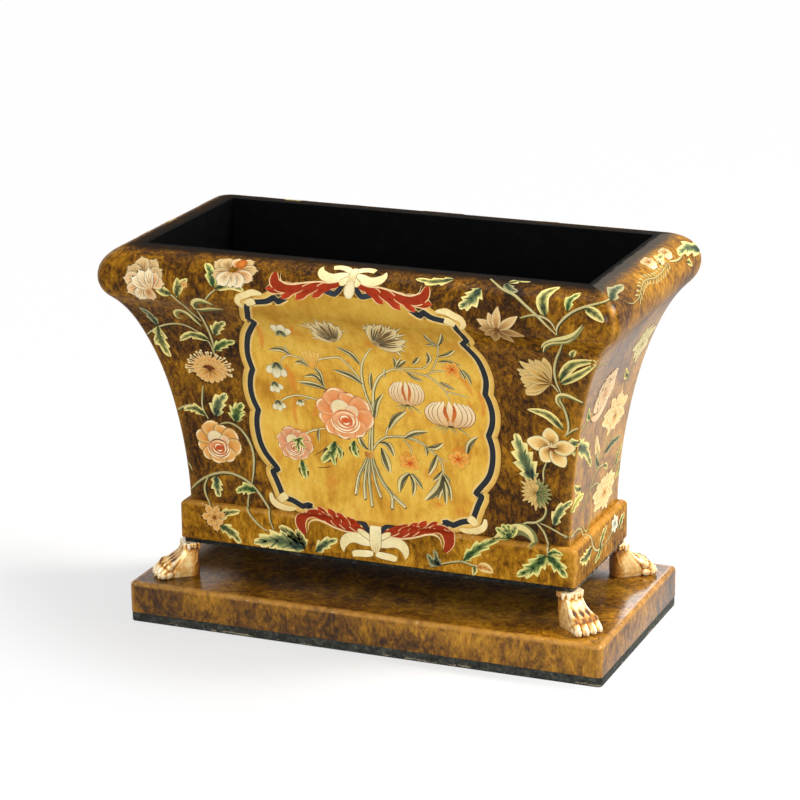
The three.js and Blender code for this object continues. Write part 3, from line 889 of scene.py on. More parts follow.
# The wood screws are turned steel, dull and browned with age. Four come down through the under board into the
# paws, and four longer ones come up through the band and the plinth.
steel, tree, shader = varnished("old_screw_steel", 0.4, 0.0, metallic=1.0, specular=0.5)
rust = noise(own_place(tree), 600.0, 4.0, 0.7)
feed_all(shader, Base_Color=add_ramp(rust, [(0.4, "8c857b"), (0.58, "6d6154"), (0.7, "5c3a22")]))
feed_all(shader, Roughness=ramped(rust, 0.4, 0.7, 0.3, 0.7, "LINEAR"))
for name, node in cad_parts.items():
    if name.startswith(("foot_screw", "plinth_screw")):
        refinish(node, steel)

# The decoration is painted by hand over the ground in thin oil colour, each touch laid on the last. A touch
# is a thin closed skin, drawn flat by its place along the side and up round the section, and laid on there.
# How much it covers what is under it fades towards its soft ends.
TOUCH_LIFT = 0.05
LAYER_LIFT = 0.026
TOUCH_SINK = -0.06
THINNEST = 0.04
FILM_MAP_HIGH = 286.0
FILM_MAP_ASIDE = 56.0
paint_path = [moulding_face[0], (MOULDING_OUT, FOOT_UP - MOULDING_ROUND), *moulding_edge, *outside]
paint_run = distances(paint_path)


def on_side(side, along, run, lift):
    """The place and the outward direction of a point of the decoration, with its height above the wood."""
    run = min(max(run, 0.0), paint_run[-1] - 0.001)
    low, high = 0, len(paint_run) - 1
    while high - low > 1:
        middle = (low + high) // 2
        low, high = (middle, high) if paint_run[middle] <= run else (low, middle)
    share = (run - paint_run[low]) / (paint_run[high] - paint_run[low])
    a, b = paint_path[low], paint_path[high]
    before, after = paint_path[max(low - 1, 0)], paint_path[min(high + 1, len(paint_path) - 1)]
    slope = [(b[k] - before[k]) * (1 - share) + (after[k] - a[k]) * share for k in (0, 1)]
    length = math.hypot(*slope)
    face_out, face_up = slope[1] / length, -slope[0] / length
    out = a[0] + (b[0] - a[0]) * share
    up = a[1] + (b[1] - a[1]) * share
    half, deep = halves(side)
    x, y, dx, dy = round_corner(half + out, deep + out, along, corner_radius(up))
    place = turned(side, x + dx * face_out * lift, y + dy * face_out * lift)
    return (*place, BODY_BASE + up + face_up * lift), (*turned(side, dx * face_out, dy * face_out), face_up)


def tints(colours, cover=1.0):
    """Colours of paint, as linear light with how well they cover."""
    return tuple((*linear(colour), cover) for colour in colours.split())


def between(a, b, share):
    """The point or colour at a share of the way from a to b."""
    return tuple(p + (q - p) * share for p, q in zip(a, b))


# The points, upper faces and lower faces of the touches that the next pieces are made of.
film = ([], [], [])


def lay(rows, layer):
    """Adds one touch to the film: rows of (along, run, colour) points, where an end row may be one point."""
    lift = TOUCH_LIFT + LAYER_LIFT * layer
    points, tops, unders = film
    last = len(rows) - 1
    upper, lower = [], []
    for row in rows:
        upper.append([len(points) + j for j in range(len(row))])
        points.extend((x, s, lift, colour) for x, s, colour in row)
    for i, row in enumerate(rows):
        under = list(upper[i])
        if 0 < i < last:
            for j in range(1, len(row) - 1):
                under[j] = len(points)
                points.append((row[j][0], row[j][1], TOUCH_SINK, row[j][2]))
        lower.append(under)
    for near in range(last):
        for indices, faces, flip in ((upper, tops, False), (lower, unders, True)):
            a, b = indices[near], indices[near + 1]
            for j in range(max(len(a), len(b)) - 1):
                quad = [row[min(j + k, len(row) - 1)] for row, k in ((a, 0), (a, 1), (b, 1), (b, 0))]
                quad = [v for k, v in enumerate(quad) if v not in quad[:k]]
                if len(quad) > 2:
                    faces.append(quad[::-1] if flip else quad)


def heading(path, i):
    """The direction of a path at one of its points."""
    a, b = path[max(i - 1, 0)], path[min(i + 1, len(path) - 1)]
    length = max(math.dist(a, b), 1e-6)
    return (b[0] - a[0]) / length, (b[1] - a[1]) / length


def smooth_path(points, step):
    """A smooth curve through points, about one step apart, as places with their headings."""
    knots = [points[0], *points, points[-1]]
    curve = []
    for k in range(1, len(knots) - 2):
        parts = max(2, int(math.dist(knots[k], knots[k + 1]) / step + 0.5))
        for i in range(parts + (k == len(knots) - 3)):
            t = i / parts
            pulls = (2 * t * t - t - t**3, 2 - 5 * t * t + 3 * t**3, t + 4 * t * t - 3 * t**3, t**3 - t * t)
            near = list(zip(pulls, knots[k - 1 : k + 3]))
            curve.append(tuple(0.5 * sum(pull * knot[c] for pull, knot in near) for c in (0, 1)))
    return [(*place, *heading(curve, i)) for i, place in enumerate(curve)]


def brush(path, width, colours, layer, ends=(0.0, 0.0), step=2.4, rim=None, ramp=0.35):
    """One stroke of the brush along a path, with the shares of its width at its two ends."""
    places = smooth_path(path, step)
    spans = 2 if width < 4.0 else 4 if width < 8.0 else 6
    rows = []
    for i, (x, s, dx, ds) in enumerate(places):
        t = i / (len(places) - 1)
        half = 0.5 * width
        for end, gone in zip(ends, (t, 1 - t)):
            half *= end + (1 - end) * math.sin(min(gone / ramp, 1.0) * math.pi / 2)
        colour = between(colours[0], colours[-1], t)
        if half < THINNEST:
            rows.append([(x, s, colour)])
            continue
        row = []
        for k in range(spans + 1):
            v = 1.0 - 2.0 * k / spans
            row.append((x - ds * half * v, s + dx * half * v, rim if rim and abs(v) == 1.0 else colour))
        rows.append(row)
    lay(rows, layer)


def bowed(base, tip, bend):
    """A path from base to tip whose middle stands aside by bend, to the left when positive."""
    middle = between(base, tip, 0.5)
    share = bend / math.dist(base, tip)
    return [base, (middle[0] - (tip[1] - base[1]) * share, middle[1] + (tip[0] - base[0]) * share), tip]


def moved(path, across, up):
    """A path moved sideways and up."""
    return [(x + across, s + up) for x, s in path]


def leaf(path, width, layer, look, teeth=0):
    """A leaf along its rib. look is the colours of its margin, of its middle and along the rib."""
    margin, middle, core = look
    count = max(9, 5 * teeth + 1)
    whole = smooth_path(path, 1.0)
    length = len(whole) - 1
    rows = []
    for i in range(count + 1):
        t = i / count
        x, s, dx, ds = whole[min(int(t * length + 0.5), length)]
        half = 0.5 * width * max(math.sin(math.pi * t**0.72), 0.0) ** 0.85
        if half < 0.05 or i in (0, count):
            rows.append([(x, s, between(core, margin, t))])
            continue
        row = []
        for v in (1.0, 0.7, 0.38, 0.0, -0.38, -0.7, -1.0):
            bite = 0.54 + 0.6 * ((t * teeth + (0.35 if v < 0 else 0.0)) % 1.0) if teeth else 1.0
            reach = half * v * (bite if abs(v) > 0.5 else 1.0)
            ahead = 0.34 * half * abs(v) * bite
            depth = 1.14 - 0.66 * t - 1.2 * abs(v) + 0.13 * math.sin(24.0 * t + 7.0 * abs(v))
            if depth < 0.45:
                shade = between(margin, middle, min(max(depth, 0.0) * 2.2, 1.0))
            else:
                shade = between(middle, core, min((depth - 0.45) * 4.0, 1.0))
            row.append((x - ds * reach + dx * ahead, s + dx * reach + ds * ahead, shade))
        rows.append(row)
    lay(rows, layer)
    for k in range(1, 4 if width > 6 else 3):
        i = int(count * (0.12 + 0.2 * k))
        near, far = rows[i], rows[min(i + max(count // 7, 1), count - 1)]
        if len(near) > 1 and len(far) > 1:
            for end in (1, 5):
                vein = [near[3][:2], far[end][:2]]
                brush(vein, 0.075 * width, (core, middle), layer + 1, (0.9, 0.0), 3.0)
    rib = [p[:2] for p in whole[:: max(length // 5, 1)]]
    brush(rib, 0.07 * width + 0.25, (core, middle), layer + 1, (1.0, 0.0), 4.0)


def petal(base, angle, length, width, layer, look, bend=0.0, notch=0.0, point=1.25, full=0.55, fine=6):
    """A petal from its base at an angle. look is the colours of its foot, middle, edge and outline."""
    foot, middle, edge, outline = look
    ux, us = away((0.0, 0.0), angle, 1.0)
    rows = [[(*base, foot)]]
    for t in [0.9 * (i + 1) / fine for i in range(fine)] + [0.97, 1.0]:
        half = 0.5 * width * math.sin(math.pi * min(t, 0.985) ** point) ** full
        row = []
        for v in (1.0, 0.84, 0.42, 0.0, -0.42, -0.84, -1.0):
            dent = notch * (1.0 - abs(math.cos(1.5 * math.pi * v))) * t**4
            far = length * t * (1.0 - dent)
            aside = half * v * (0.9 if t >= 1.0 else 1.0) + bend * length * t * t
            if t >= 1.0 or abs(v) == 1.0:
                shade = outline
            elif t >= 0.97 or abs(v) > 0.8:
                shade = between(outline, edge, 0.84)
            else:
                shade = between(foot, middle, min(t * 1.9, 1.0))
                shade = between(shade, edge, max(0.0, (t - 0.45) * 1.5) * (0.75 + 0.25 * abs(v)))
            row.append((base[0] + ux * far - us * aside, base[1] + us * far + ux * aside, shade))
        rows.append(row)
    lay(rows, layer)


def squeezed(angle, flat):
    """The angle and the reach of a direction whose height is squeezed."""
    ux, us = away((0.0, 0.0), angle, 1.0, flat)
    return math.degrees(math.atan2(us, ux)), math.hypot(ux, us)


def ring(centre, radius, count, layer, look, length, width, start=90.0, sweep=360.0, flat=1.0, **more):
    """A ring of petals that begin at a radius, each laid over the last."""
    for k in range(count):
        angle = start + sweep * k / count
        lean, reach = squeezed(angle, flat)
        base = away(centre, angle, radius, flat)
        petal(base, lean, length * reach, width, layer + (k % 2) * 0.6 + 0.1 * (k % 3), look, **more)


def crescent(centre, radius, start, end, width, colours, layer, flat=1.0):
    """A curved stroke round a centre, thick in its middle, as on the turned edge of a rose's petal."""
    path = [away(centre, start + (end - start) * k / 5, radius, flat) for k in range(6)]
    brush(path, width, colours, layer, (0.0, 0.0), 2.2, ramp=0.5)


def disc(centre, radius, colours, layer, flat=1.0, wobble=0.0, lobes=5):
    """A round dab, from its middle colour to its edge colour."""
    sectors = max(12, int(radius * 2.2))
    steps = max(2, int(radius / 2.6))
    rows = [[(*centre, colours[0])]]
    for i in range(steps + 1):
        shade = between(colours[0], colours[-1], i / steps)
        row = []
        for k in range(sectors, -1, -1):
            angle = 360 * k / sectors
            swell = 1.0 + wobble * math.sin(math.radians(lobes * angle))
            reach = radius * (0.06 + 0.94 * i / steps) * swell
            row.append((*away(centre, angle, reach, flat), shade))
        rows.append(row)
    lay(rows, layer)


# Every touch is creased where the moulding's edge and the rim turn, so that it lies on them without gaps.
EDGE_FROM, EDGE_TO, RIM_FROM = 26.5, 36.0, 215.0
CREASES = [run for run in paint_run if EDGE_FROM < run < EDGE_TO or run > RIM_FROM]
CREASE_REACH = 9.0


def creased():
    """A flat mesh of the film, along by run by lift, with its touches creased."""
    points, tops, unders = film
    mesh = bpy.data.meshes.new("film")
    mesh.from_pydata([point[:3] for point in points], [], unders + tops)
    colours = mesh.color_attributes.new("paint", "FLOAT_COLOR", "POINT")
    colours.data.foreach_set("color", [share for point in points for share in point[3]])
    turned_down = mesh.attributes.new("turned_down", "BOOLEAN", "FACE")
    turned_down.data.foreach_set("value", [i < len(unders) for i in range(len(mesh.polygons))])
    net = bmesh.new()
    net.from_mesh(mesh)
    for run in CREASES:
        near = [face for face in net.faces if any(abs(v.co.y - run) < CREASE_REACH for v in face.verts)]
        lines = {line for face in near for line in face.edges}
        ends = {vertex for face in near for vertex in face.verts}
        cut = {"plane_co": (0.0, run, 0.0), "plane_no": (0.0, 1.0, 0.0), "dist": 0.01}
        bmesh.ops.bisect_plane(net, geom=[*ends, *lines, *near], **cut)
    # A cut close to a touch's tip lays its top on its underside, and both are taken off there.
    bmesh.ops.dissolve_degenerate(net, dist=0.0001, edges=net.edges)
    alike = {}
    for face in net.faces:
        alike.setdefault(frozenset(face.verts), []).append(face)
    folded = [face for faces in alike.values() if len(faces) > 1 for face in faces]
    bmesh.ops.delete(net, geom=folded, context="FACES")
    net.to_mesh(mesh)
    net.free()
    return mesh


def lay_on(net, name, side, finish):
    """Makes a piece from the film's flat mesh, laid on a side of the body."""
    mesh = net.copy()
    mesh.name = name
    flat = mesh.uv_layers.new(name="OFBake")
    reach = 2.0 * (halves(side)[0] + FILM_MAP_ASIDE)
    for loop in mesh.loops:
        x, s, _ = mesh.vertices[loop.vertex_index].co
        flat.data[loop.index].uv = (0.5 + x / reach, 0.01 + 0.98 * s / FILM_MAP_HIGH)
    outward = []
    for vertex in mesh.vertices:
        place, normal = on_side(side, *vertex.co)
        vertex.co = [value * MM for value in place]
        outward.append(normal)
    under = [value.value for value in mesh.attributes["turned_down"].data]
    normals = []
    for face in mesh.polygons:
        face.use_smooth = not under[face.index]
        for vertex in face.vertices:
            normals.append((0.0, 0.0, 0.0) if under[face.index] else outward[vertex])
    mesh.normals_split_custom_set(normals)
    mesh.materials.append(finish)
    piece = bpy.data.objects.new(name, mesh)
    bpy.context.scene.collection.objects.link(piece)
    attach(piece, "root")


def painted(name, sides, finish):
    """Lays the film on each of two like sides, and begins the next one."""
    net = creased()
    for side in sides:
        lay_on(net, name + SIDE_NAMES[side], side, finish)
    bpy.data.meshes.remove(net)
    for part in film:
        part.clear()


# The oil colour is thin, brushed out in fine streaks, and lets the ground through where a touch fades out. It
# is under the same varnish as the ground.
def brushed_paint(name, under):
    """Oil colour from a film's own colours, with the under group below it."""
    finish, tree, shader = varnished(name)
    own = add_node(tree, "Attribute", {"attribute_name": "paint"}).outputs
    place = own_place(tree)
    hairs = noise(place, 420.0, 3.0, 0.65, 0.8)
    ragged = times(hairs, 0.9, -0.45)
    cover = times(own["Alpha"], 2.0, ragged)
    cover = add_sum("SUBTRACT", cover, 0.45, clamp=True)
    value = times(hairs, 0.42, 0.62)
    value = times(noise(place, 95.0, 3.0, 0.55), 0.34, value)
    shaded = add_node(tree, "HueSaturation", Color=own["Color"], Value=value).outputs["Color"]
    feed_all(shader, Base_Color=add_mix(cover, add_group(tree, under)["Color"], shaded))
    add_bump(shader, hairs, 0.35, 0.0004)
    return finish


# The flowers of the long sides stand on the mottled ground, round a middle that is left free for the panel.
# Each kind of flower is painted in its own way, from its shaded foot to its light edge.
CREAM, PALE, OLIVE, DARK_OLIVE = tints("f3e2b0 e9c98c aea168 39381c")
LEAF_CREAM = tints("efdc8a 87894a 0d2420")
LEAF_GREEN = tints("e2d882 6a8444 0f2c1a")
LEAF_GREY = tints("a8a274 5c6448 24301f")
LEAF_BLUE = tints("efde8e 7a8a56 0a1c26")
LEAF_AMBER = tints("e6cf8a dda050 b0702a")
GOLDEN = tints("8c5018 d99c4a f0c884 8a5a26")
BUFF = tints("7a4c24 c2965a efd49a 4c3014")
BUFF_SHADE = tints("5c3a1c 98703e cba86c 3e2610")
STRAW = tints("7c5420 c0954a e9cc86 54380f")
THISTLE = (*tints("28301c 5c6438 aba566"), DARK_OLIVE)
TAN = tints("7c5426 c6a068 e2c892 573616")
PEACHY = tints("b4682c e3ad70 f4deae 683c1c")
CREAMY = tints("d49c60 f1d6a2 f9ecc8 6e4a26")
# The petals of the loose flowers: the place of each foot, the angle, the reach, the width and the colours.
PEONY = (
    (0.1, 0.1, 72, 0.95, 0.7, TAN),
    (0.0, 0.1, 108, 1.0, 0.75, TAN),
    (0.0, 0.0, 146, 1.0, 0.75, TAN),
    (0.1, 0.0, 38, 0.9, 0.7, TAN),
    (0.0, 0.0, 178, 1.0, 0.7, PEACHY),
    (0.0, -0.1, 212, 1.02, 0.7, PEACHY),
    (0.1, 0.0, -5, 0.85, 0.6, PEACHY),
    (0.0, -0.15, 245, 0.95, 0.65, CREAMY),
    (0.1, -0.2, 282, 0.78, 0.6, PEACHY),
    (0.25, -0.35, 152, 1.02, 0.52, CREAMY),
    (0.32, -0.3, 72, 0.8, 0.42, PEACHY),
    (0.28, -0.35, 126, 1.02, 0.48, CREAMY),
    (0.3, -0.35, 99, 0.95, 0.44, CREAMY),
)
TUMBLED = (
    (-0.1, 0.1, 165, 1.0, 0.7, TAN),
    (-0.1, 0.0, 133, 0.82, 0.7, TAN),
    (-0.1, -0.1, 195, 0.95, 0.65, TAN),
    (0.2, 0.1, 35, 0.9, 0.6, TAN),
    (0.2, 0.0, 4, 1.1, 0.6, TAN),
    (0.2, -0.05, -22, 1.0, 0.6, PEACHY),
    (0.1, -0.1, -55, 0.85, 0.7, CREAMY),
    (0.0, -0.1, -90, 0.75, 0.7, CREAMY),
    (-0.1, -0.1, -128, 0.85, 0.7, CREAMY),
    (0.1, 0.1, 88, 0.6, 0.6, PEACHY),
)
# The outer petals of a rose by their angle, reach and width, and its folds by radius, start, sweep and shift.
ROSE_PETALS = (
    (192, 0.98, 0.66),
    (160, 1.1, 0.7),
    (228, 1.0, 0.66),
    (114, 1.1, 0.98),
    (70, 0.9, 0.84),
    (30, 1.08, 0.9),
    (-8, 1.12, 0.88),
    (-48, 1.0, 0.78),
    (-94, 0.94, 0.84),
)
ROSE_FOLDS = (
    (0.5, 165, 120, 0.0),
    (0.5, 262, 110, 0.0),
    (0.39, 190, 130, -0.02),
    (0.36, 300, 100, 0.05),
    (0.26, 175, 120, 0.02),
    (0.25, 310, 110, 0.03),
    (0.15, 30, 170, 0.0),
    (0.12, 220, 120, 0.02),
)
POINTED_PETALS = (
    (150, 0.9),
    (115, 0.8),
    (178, 0.75),
    (210, 0.7),
    (-10, 1.15),
    (35, 1.15),
    (-50, 0.95),
    (-110, 0.85),
    (90, 1.0),
)
wander = random.Random(20)


def stem(path, width):
    """A stem, light on a dark shade that lies along one side of it."""
    brush(moved(path, 0.35 * width, -0.22 * width), 1.25 * width, (DARK_OLIVE,), 0, (0.5, 0.3), 2.0)
    brush(path, 0.85 * width, (OLIVE, between(OLIVE, CREAM, 0.35)), 1, (0.6, 0.3), 2.0)


def scroll(path, width, layer):
    """A curled ribbon of leaf: a dark body, a light edge and a middle tone between."""
    light, middle, dark = tints("dccb84 8f8d55 3c4628")
    brush(path, width, (dark, middle), layer, (0.15, 0.0), ramp=0.5)
    lit = moved(path, -0.16 * width, 0.16 * width)
    brush(lit, 0.5 * width, (light,), layer + 1, (0.1, 0.0), ramp=0.5)


def loose_bloom(x, s, r, parts, layer=6):
    """A loose flower: petals laid one on another, each from its own foot, with fine veins."""
    for k, (across, up, angle, reach, width, look) in enumerate(parts):
        foot = (x + across * r, s + up * r)
        petal(foot, angle, reach * r, width * r, layer + 0.9 * k, look, notch=0.13, full=0.62)
        for lean in (-11, 0, 11):
            vein = [away(foot, angle + lean, share * reach * r) for share in (0.3, 0.78)]
            brush(vein, 0.035 * r, (look[3], look[1]), layer + 0.9 * k + 0.5, (0.6, 0.0), 3.0)


def daisy(x, s, r, layer=6):
    """A many-petalled flower seen aslant, with a halo of fine stamens."""
    for k in range(26):
        angle = -20 + 220 * k / 25 + wander.uniform(-3, 3)
        tip = away((x, s), angle, r * wander.uniform(0.92, 1.08), 0.85)
        brush([away((x, s), angle, 0.5 * r, 0.8), tip], 0.05 * r, (GOLDEN[1], CREAM), layer, (0.4, 0.8), 5.0)
        disc(tip, 0.055 * r, (CREAM, PALE), layer + 1)
    more = {"fine": 4}
    ring((x, s), 0.2 * r, 19, layer + 1, GOLDEN, 0.62 * r, 0.26 * r, 8.0, flat=0.82, **more)
    ring((x, s - 0.03 * r), 0.08 * r, 15, layer + 3, GOLDEN, 0.5 * r, 0.25 * r, 0.0, flat=0.78, **more)
    ring((x, s - 0.06 * r), 0.04 * r, 7, layer + 5, GOLDEN, 0.66 * r, 0.32 * r, 190.0, 190.0, 0.9, **more)
    heart = [(x - 0.3 * r, s + 0.06 * r), (x, s + 0.1 * r), (x + 0.28 * r, s)]
    brush(heart, 0.17 * r, tints("5a2c14 7c4220"), layer + 7, (0.3, 0.0))


def full_rose(x, s, r, outer, bowl, layer=8):
    """A full rose: ragged outer petals with light tips, two petals standing behind, and a bowl of folds."""
    foot, flesh, light, line, heart = bowl
    rim, lit, petal_middle, petal_edge = tints("f8e8c0 fbecc6 e8d29c f3e3b6")
    for k, (angle, reach, width) in enumerate(ROSE_PETALS):
        here = layer + 0.35 * k
        base = away((x, s), angle, 0.16 * r)
        petal(base, angle, 0.88 * reach * r, width * r, here, outer, notch=0.1, full=0.42, point=1.6)
        far = (0.11 + 0.88 * reach) * r
        spread = math.degrees(0.36 * width / reach)
        turns = [(angle + v * spread, far * (0.97 - 0.1 * v * v)) for v in (-1.1, -0.6, 0.0, 0.6)]
        edge = [away((x, s), *turn) for turn in turns]
        brush(edge, 0.07 * r, (light, rim), here + 0.3, (0.0, 0.0), 2.0, ramp=0.5)
    layer += 4
    standing = (foot, petal_middle, petal_edge, line)
    beside = (foot, flesh, petal_edge, line)
    petal((x - 0.02 * r, s - 0.22 * r), 104, 0.84 * r, 0.78 * r, layer, standing, notch=0.05, point=1.35)
    petal((x + 0.12 * r, s - 0.26 * r), 66, 0.72 * r, 0.52 * r, layer + 0.5, beside, notch=0.05, point=1.35)
    middle = (x + 0.02 * r, s - 0.24 * r)
    disc(middle, 0.5 * r, (foot, flesh), layer + 1, 0.86, 0.03, 5)
    crescent(middle, 0.48 * r, 20, 165, 0.07 * r, (line,), layer + 1.5, 0.86)
    crescent(middle, 0.42 * r, 30, 150, 0.1 * r, (light, flesh), layer + 2, 0.8)
    deep = (middle[0] + 0.02 * r, middle[1] + 0.02 * r)
    disc(deep, 0.27 * r, (heart, between(heart, foot, 0.7)), layer + 2.4, 0.8)
    for k, (radius, start, sweep, aside) in enumerate(ROSE_FOLDS):
        fold = (middle[0] + aside * r, middle[1] + 0.02 * r)
        end = start + sweep
        here = layer + 3 + 0.4 * k
        crescent(fold, radius * r, start, end, 0.085 * r, (line, foot), here, 0.9)
        crescent(fold, (radius + 0.03) * r, start + 4, end - 6, 0.065 * r, (light, lit), here + 0.2, 0.9)


def pointed_flower(x, s, r, layer=6):
    """A flower of pointed petals, open to the front."""
    for k, (angle, share) in enumerate(POINTED_PETALS):
        look = BUFF if 30 < angle < 175 else BUFF_SHADE
        bend = wander.uniform(-0.08, 0.08)
        petal((x, s), angle, share * r, 0.42 * r, layer + 0.5 * k, look, bend, point=0.95, full=0.9)
    disc((x, s), 0.13 * r, (*tints("5c3a24"), BUFF[0]), layer + 5)


def feather_tulip(x, s, r, layer=6):
    """A parrot tulip seen from the side, its petals split into pointed strokes that fan from the foot."""
    foot = (x + 0.72 * r, s - 0.42 * r)
    for k in range(15):
        angle = 99 + 112 * k / 14
        reach = r * (1.82 - 0.3 * abs(k - 6) / 7.0) * wander.uniform(0.74, 1.0)
        bend = wander.uniform(-0.1, 0.1)
        petal(foot, angle, reach, 0.44 * r, layer + 0.4 * ((k * 4) % 15), STRAW, bend, point=1.5, full=0.9)
    for k in range(7):
        angle = 112 + 88 * k / 6
        reach = (1.3 - 0.24 * (k % 2)) * r
        here = layer + 6 + 0.4 * ((k * 3) % 7)
        petal(foot, angle, reach, 0.42 * r, here, STRAW, 0.06 * (-1) ** k, point=1.3, full=0.8)
    for k in range(4):
        vein = [away(foot, 118 + 76 * k / 3, share * r) for share in (0.15, 0.7)]
        brush(vein, 0.05 * r, (STRAW[3], STRAW[0]), layer + 9, (0.8, 0.0), 4.0)


def five_petals(x, s, r, layer=6):
    """An open flower of five broad petals with dark veins and a few stamens."""
    look = tints("965a20 e4b462 fff0b2 54340f")
    for k, (angle, share) in enumerate(((92, 1.0), (165, 1.2), (232, 0.9), (298, 1.08), (2, 1.1))):
        here = layer + 0.9 * k
        petal((x, s), angle, share * r, 0.84 * r, here, look, 0.06, point=1.05, full=0.68)
        for aside in (-0.3, -0.12, 0.08, 0.28):
            tip = away((x, s), angle + math.degrees(aside), 0.68 * share * r)
            vein = [away((x, s), angle, 0.12 * r), tip]
            brush(vein, 0.05 * r, (look[3], look[1]), here + 0.5, (1.0, 0.0), 4.0)
    disc((x, s), 0.17 * r, tints("4e2a10 8a5426"), layer + 6)
    for k in range(7):
        stamen = [(x, s), away((x, s), 15 + 25 * k, 0.28 * r, 0.26 / 0.28)]
        brush(stamen, 0.045 * r, (PALE, CREAM), layer + 7, (0.3, 0.6), 4.0)


def spiky_bud(x, s, r, layer=6):
    """A thistle-like head among narrow sepals."""
    for k in range(15):
        angle = 60 + 240 * k / 14
        reach = r * wander.uniform(0.75, 1.08)
        petal((x, s), angle, reach, 0.26 * r, layer + 0.3 * (k % 5), STRAW, point=1.0, full=0.9, fine=4)
    for k in range(9):
        here = layer + 2 + 0.3 * (k % 3)
        petal((x, s), -80 + 160 * k / 8, 0.85 * r, 0.2 * r, here, THISTLE, point=1.0, fine=4)
    ring((x - 0.1 * r, s), 0.0, 7, layer + 4, STRAW, 0.5 * r, 0.22 * r, 70.0, 230.0, fine=4)


def ragged_blossom(x, s, r, look=GOLDEN, layer=6):
    """A small star of notched petals."""
    for k in range(7):
        reach = r * wander.uniform(0.8, 1.1)
        here = layer + 0.5 * (k % 3)
        petal((x, s), 25 + 51 * k, reach, 0.5 * r, here, look, notch=0.22, full=0.7, fine=5)
    for k in range(5):
        petal((x, s), 50 + 72 * k, 0.5 * r, 0.3 * r, layer + 2, look, fine=4)
    disc((x, s), 0.13 * r, look[:1], layer + 3)


# The drawing is in millimetres from the side's middle and up from its foot: stems that rise from the foot
# at both ends and turn back on themselves, each as its width and its path, then the leaves, each as its base,
# tip, width, bend and teeth, and the curled ribbons.
FIELD_STEMS = (
    (2.0, ((-127, 167), (-126, 178), (-128, 196), (-131, 214))),
    (
        1.8,
        (
            (-127, 168), (-130, 180), (-140, 190), (-150, 194),
            (-160, 193), (-170, 189), (-180, 182), (-188, 174),
        ),
    ),
    (2.1, ((-131, 200), (-137, 210), (-141, 221), (-146, 229), (-152, 235), (-158, 238))),
    (1.4, ((-120, 227), (-114, 234), (-108, 239))),
    (1.4, ((-143, 228), (-139, 236), (-136, 241))),
    (1.6, ((-141, 137), (-143, 128), (-144, 117), (-140, 107))),
    (1.9, ((-172, 106), (-164, 114), (-154, 118), (-146, 116), (-140, 108))),
    (2.2, ((-130, 104), (-122, 106), (-113, 102), (-106, 92), (-103, 80), (-104, 65), (-106, 55))),
    (
        2.4,
        (
            *((-162, 42), (-152, 52), (-140, 59), (-127, 62), (-114, 59)),
            *((-104, 52), (-96, 42), (-90, 32), (-88, 22), (-85, 16)),
        ),
    ),
    (1.8, ((-144, 57), (-148, 48), (-147, 40), (-142, 31), (-139, 26))),
    (1.9, ((-109, 46), (-110, 34), (-104, 24), (-96, 17), (-90, 14))),
    (2.2, ((108, 273), (114, 267), (122, 261), (132, 257), (142, 250), (152, 243), (160, 236), (167, 229))),
    (2.2, ((206, 260), (190, 254), (180, 249), (173, 243), (168, 236), (167, 229))),
    (1.7, ((139, 240), (148, 243), (158, 242), (164, 238), (167, 232))),
    (2.0, ((170, 221), (165, 209), (160, 198), (157, 187), (157, 176), (160, 165))),
    (1.4, ((150, 176), (155, 171), (158, 166))),
    (2.2, ((160, 165), (158, 160), (161, 152), (163, 142), (163, 134), (160, 128))),
    (1.7, ((160, 128), (167, 134), (178, 139))),
    (1.5, ((144, 104), (141, 96), (141, 87))),
    (1.9, ((141, 68), (142, 62), (139, 56), (133, 52), (126, 51), (121, 48))),
    (1.9, ((134, 52), (140, 45), (143, 37), (145, 29), (145, 22))),
    (1.7, ((137, 52), (143, 50), (150, 47), (157, 44), (170, 42))),
    (1.6, ((48, 2), (58, 6), (68, 9), (76, 10), (86, 8), (98, 10))),
    (1.6, ((74, 10), (80, 14), (88, 19))),
)
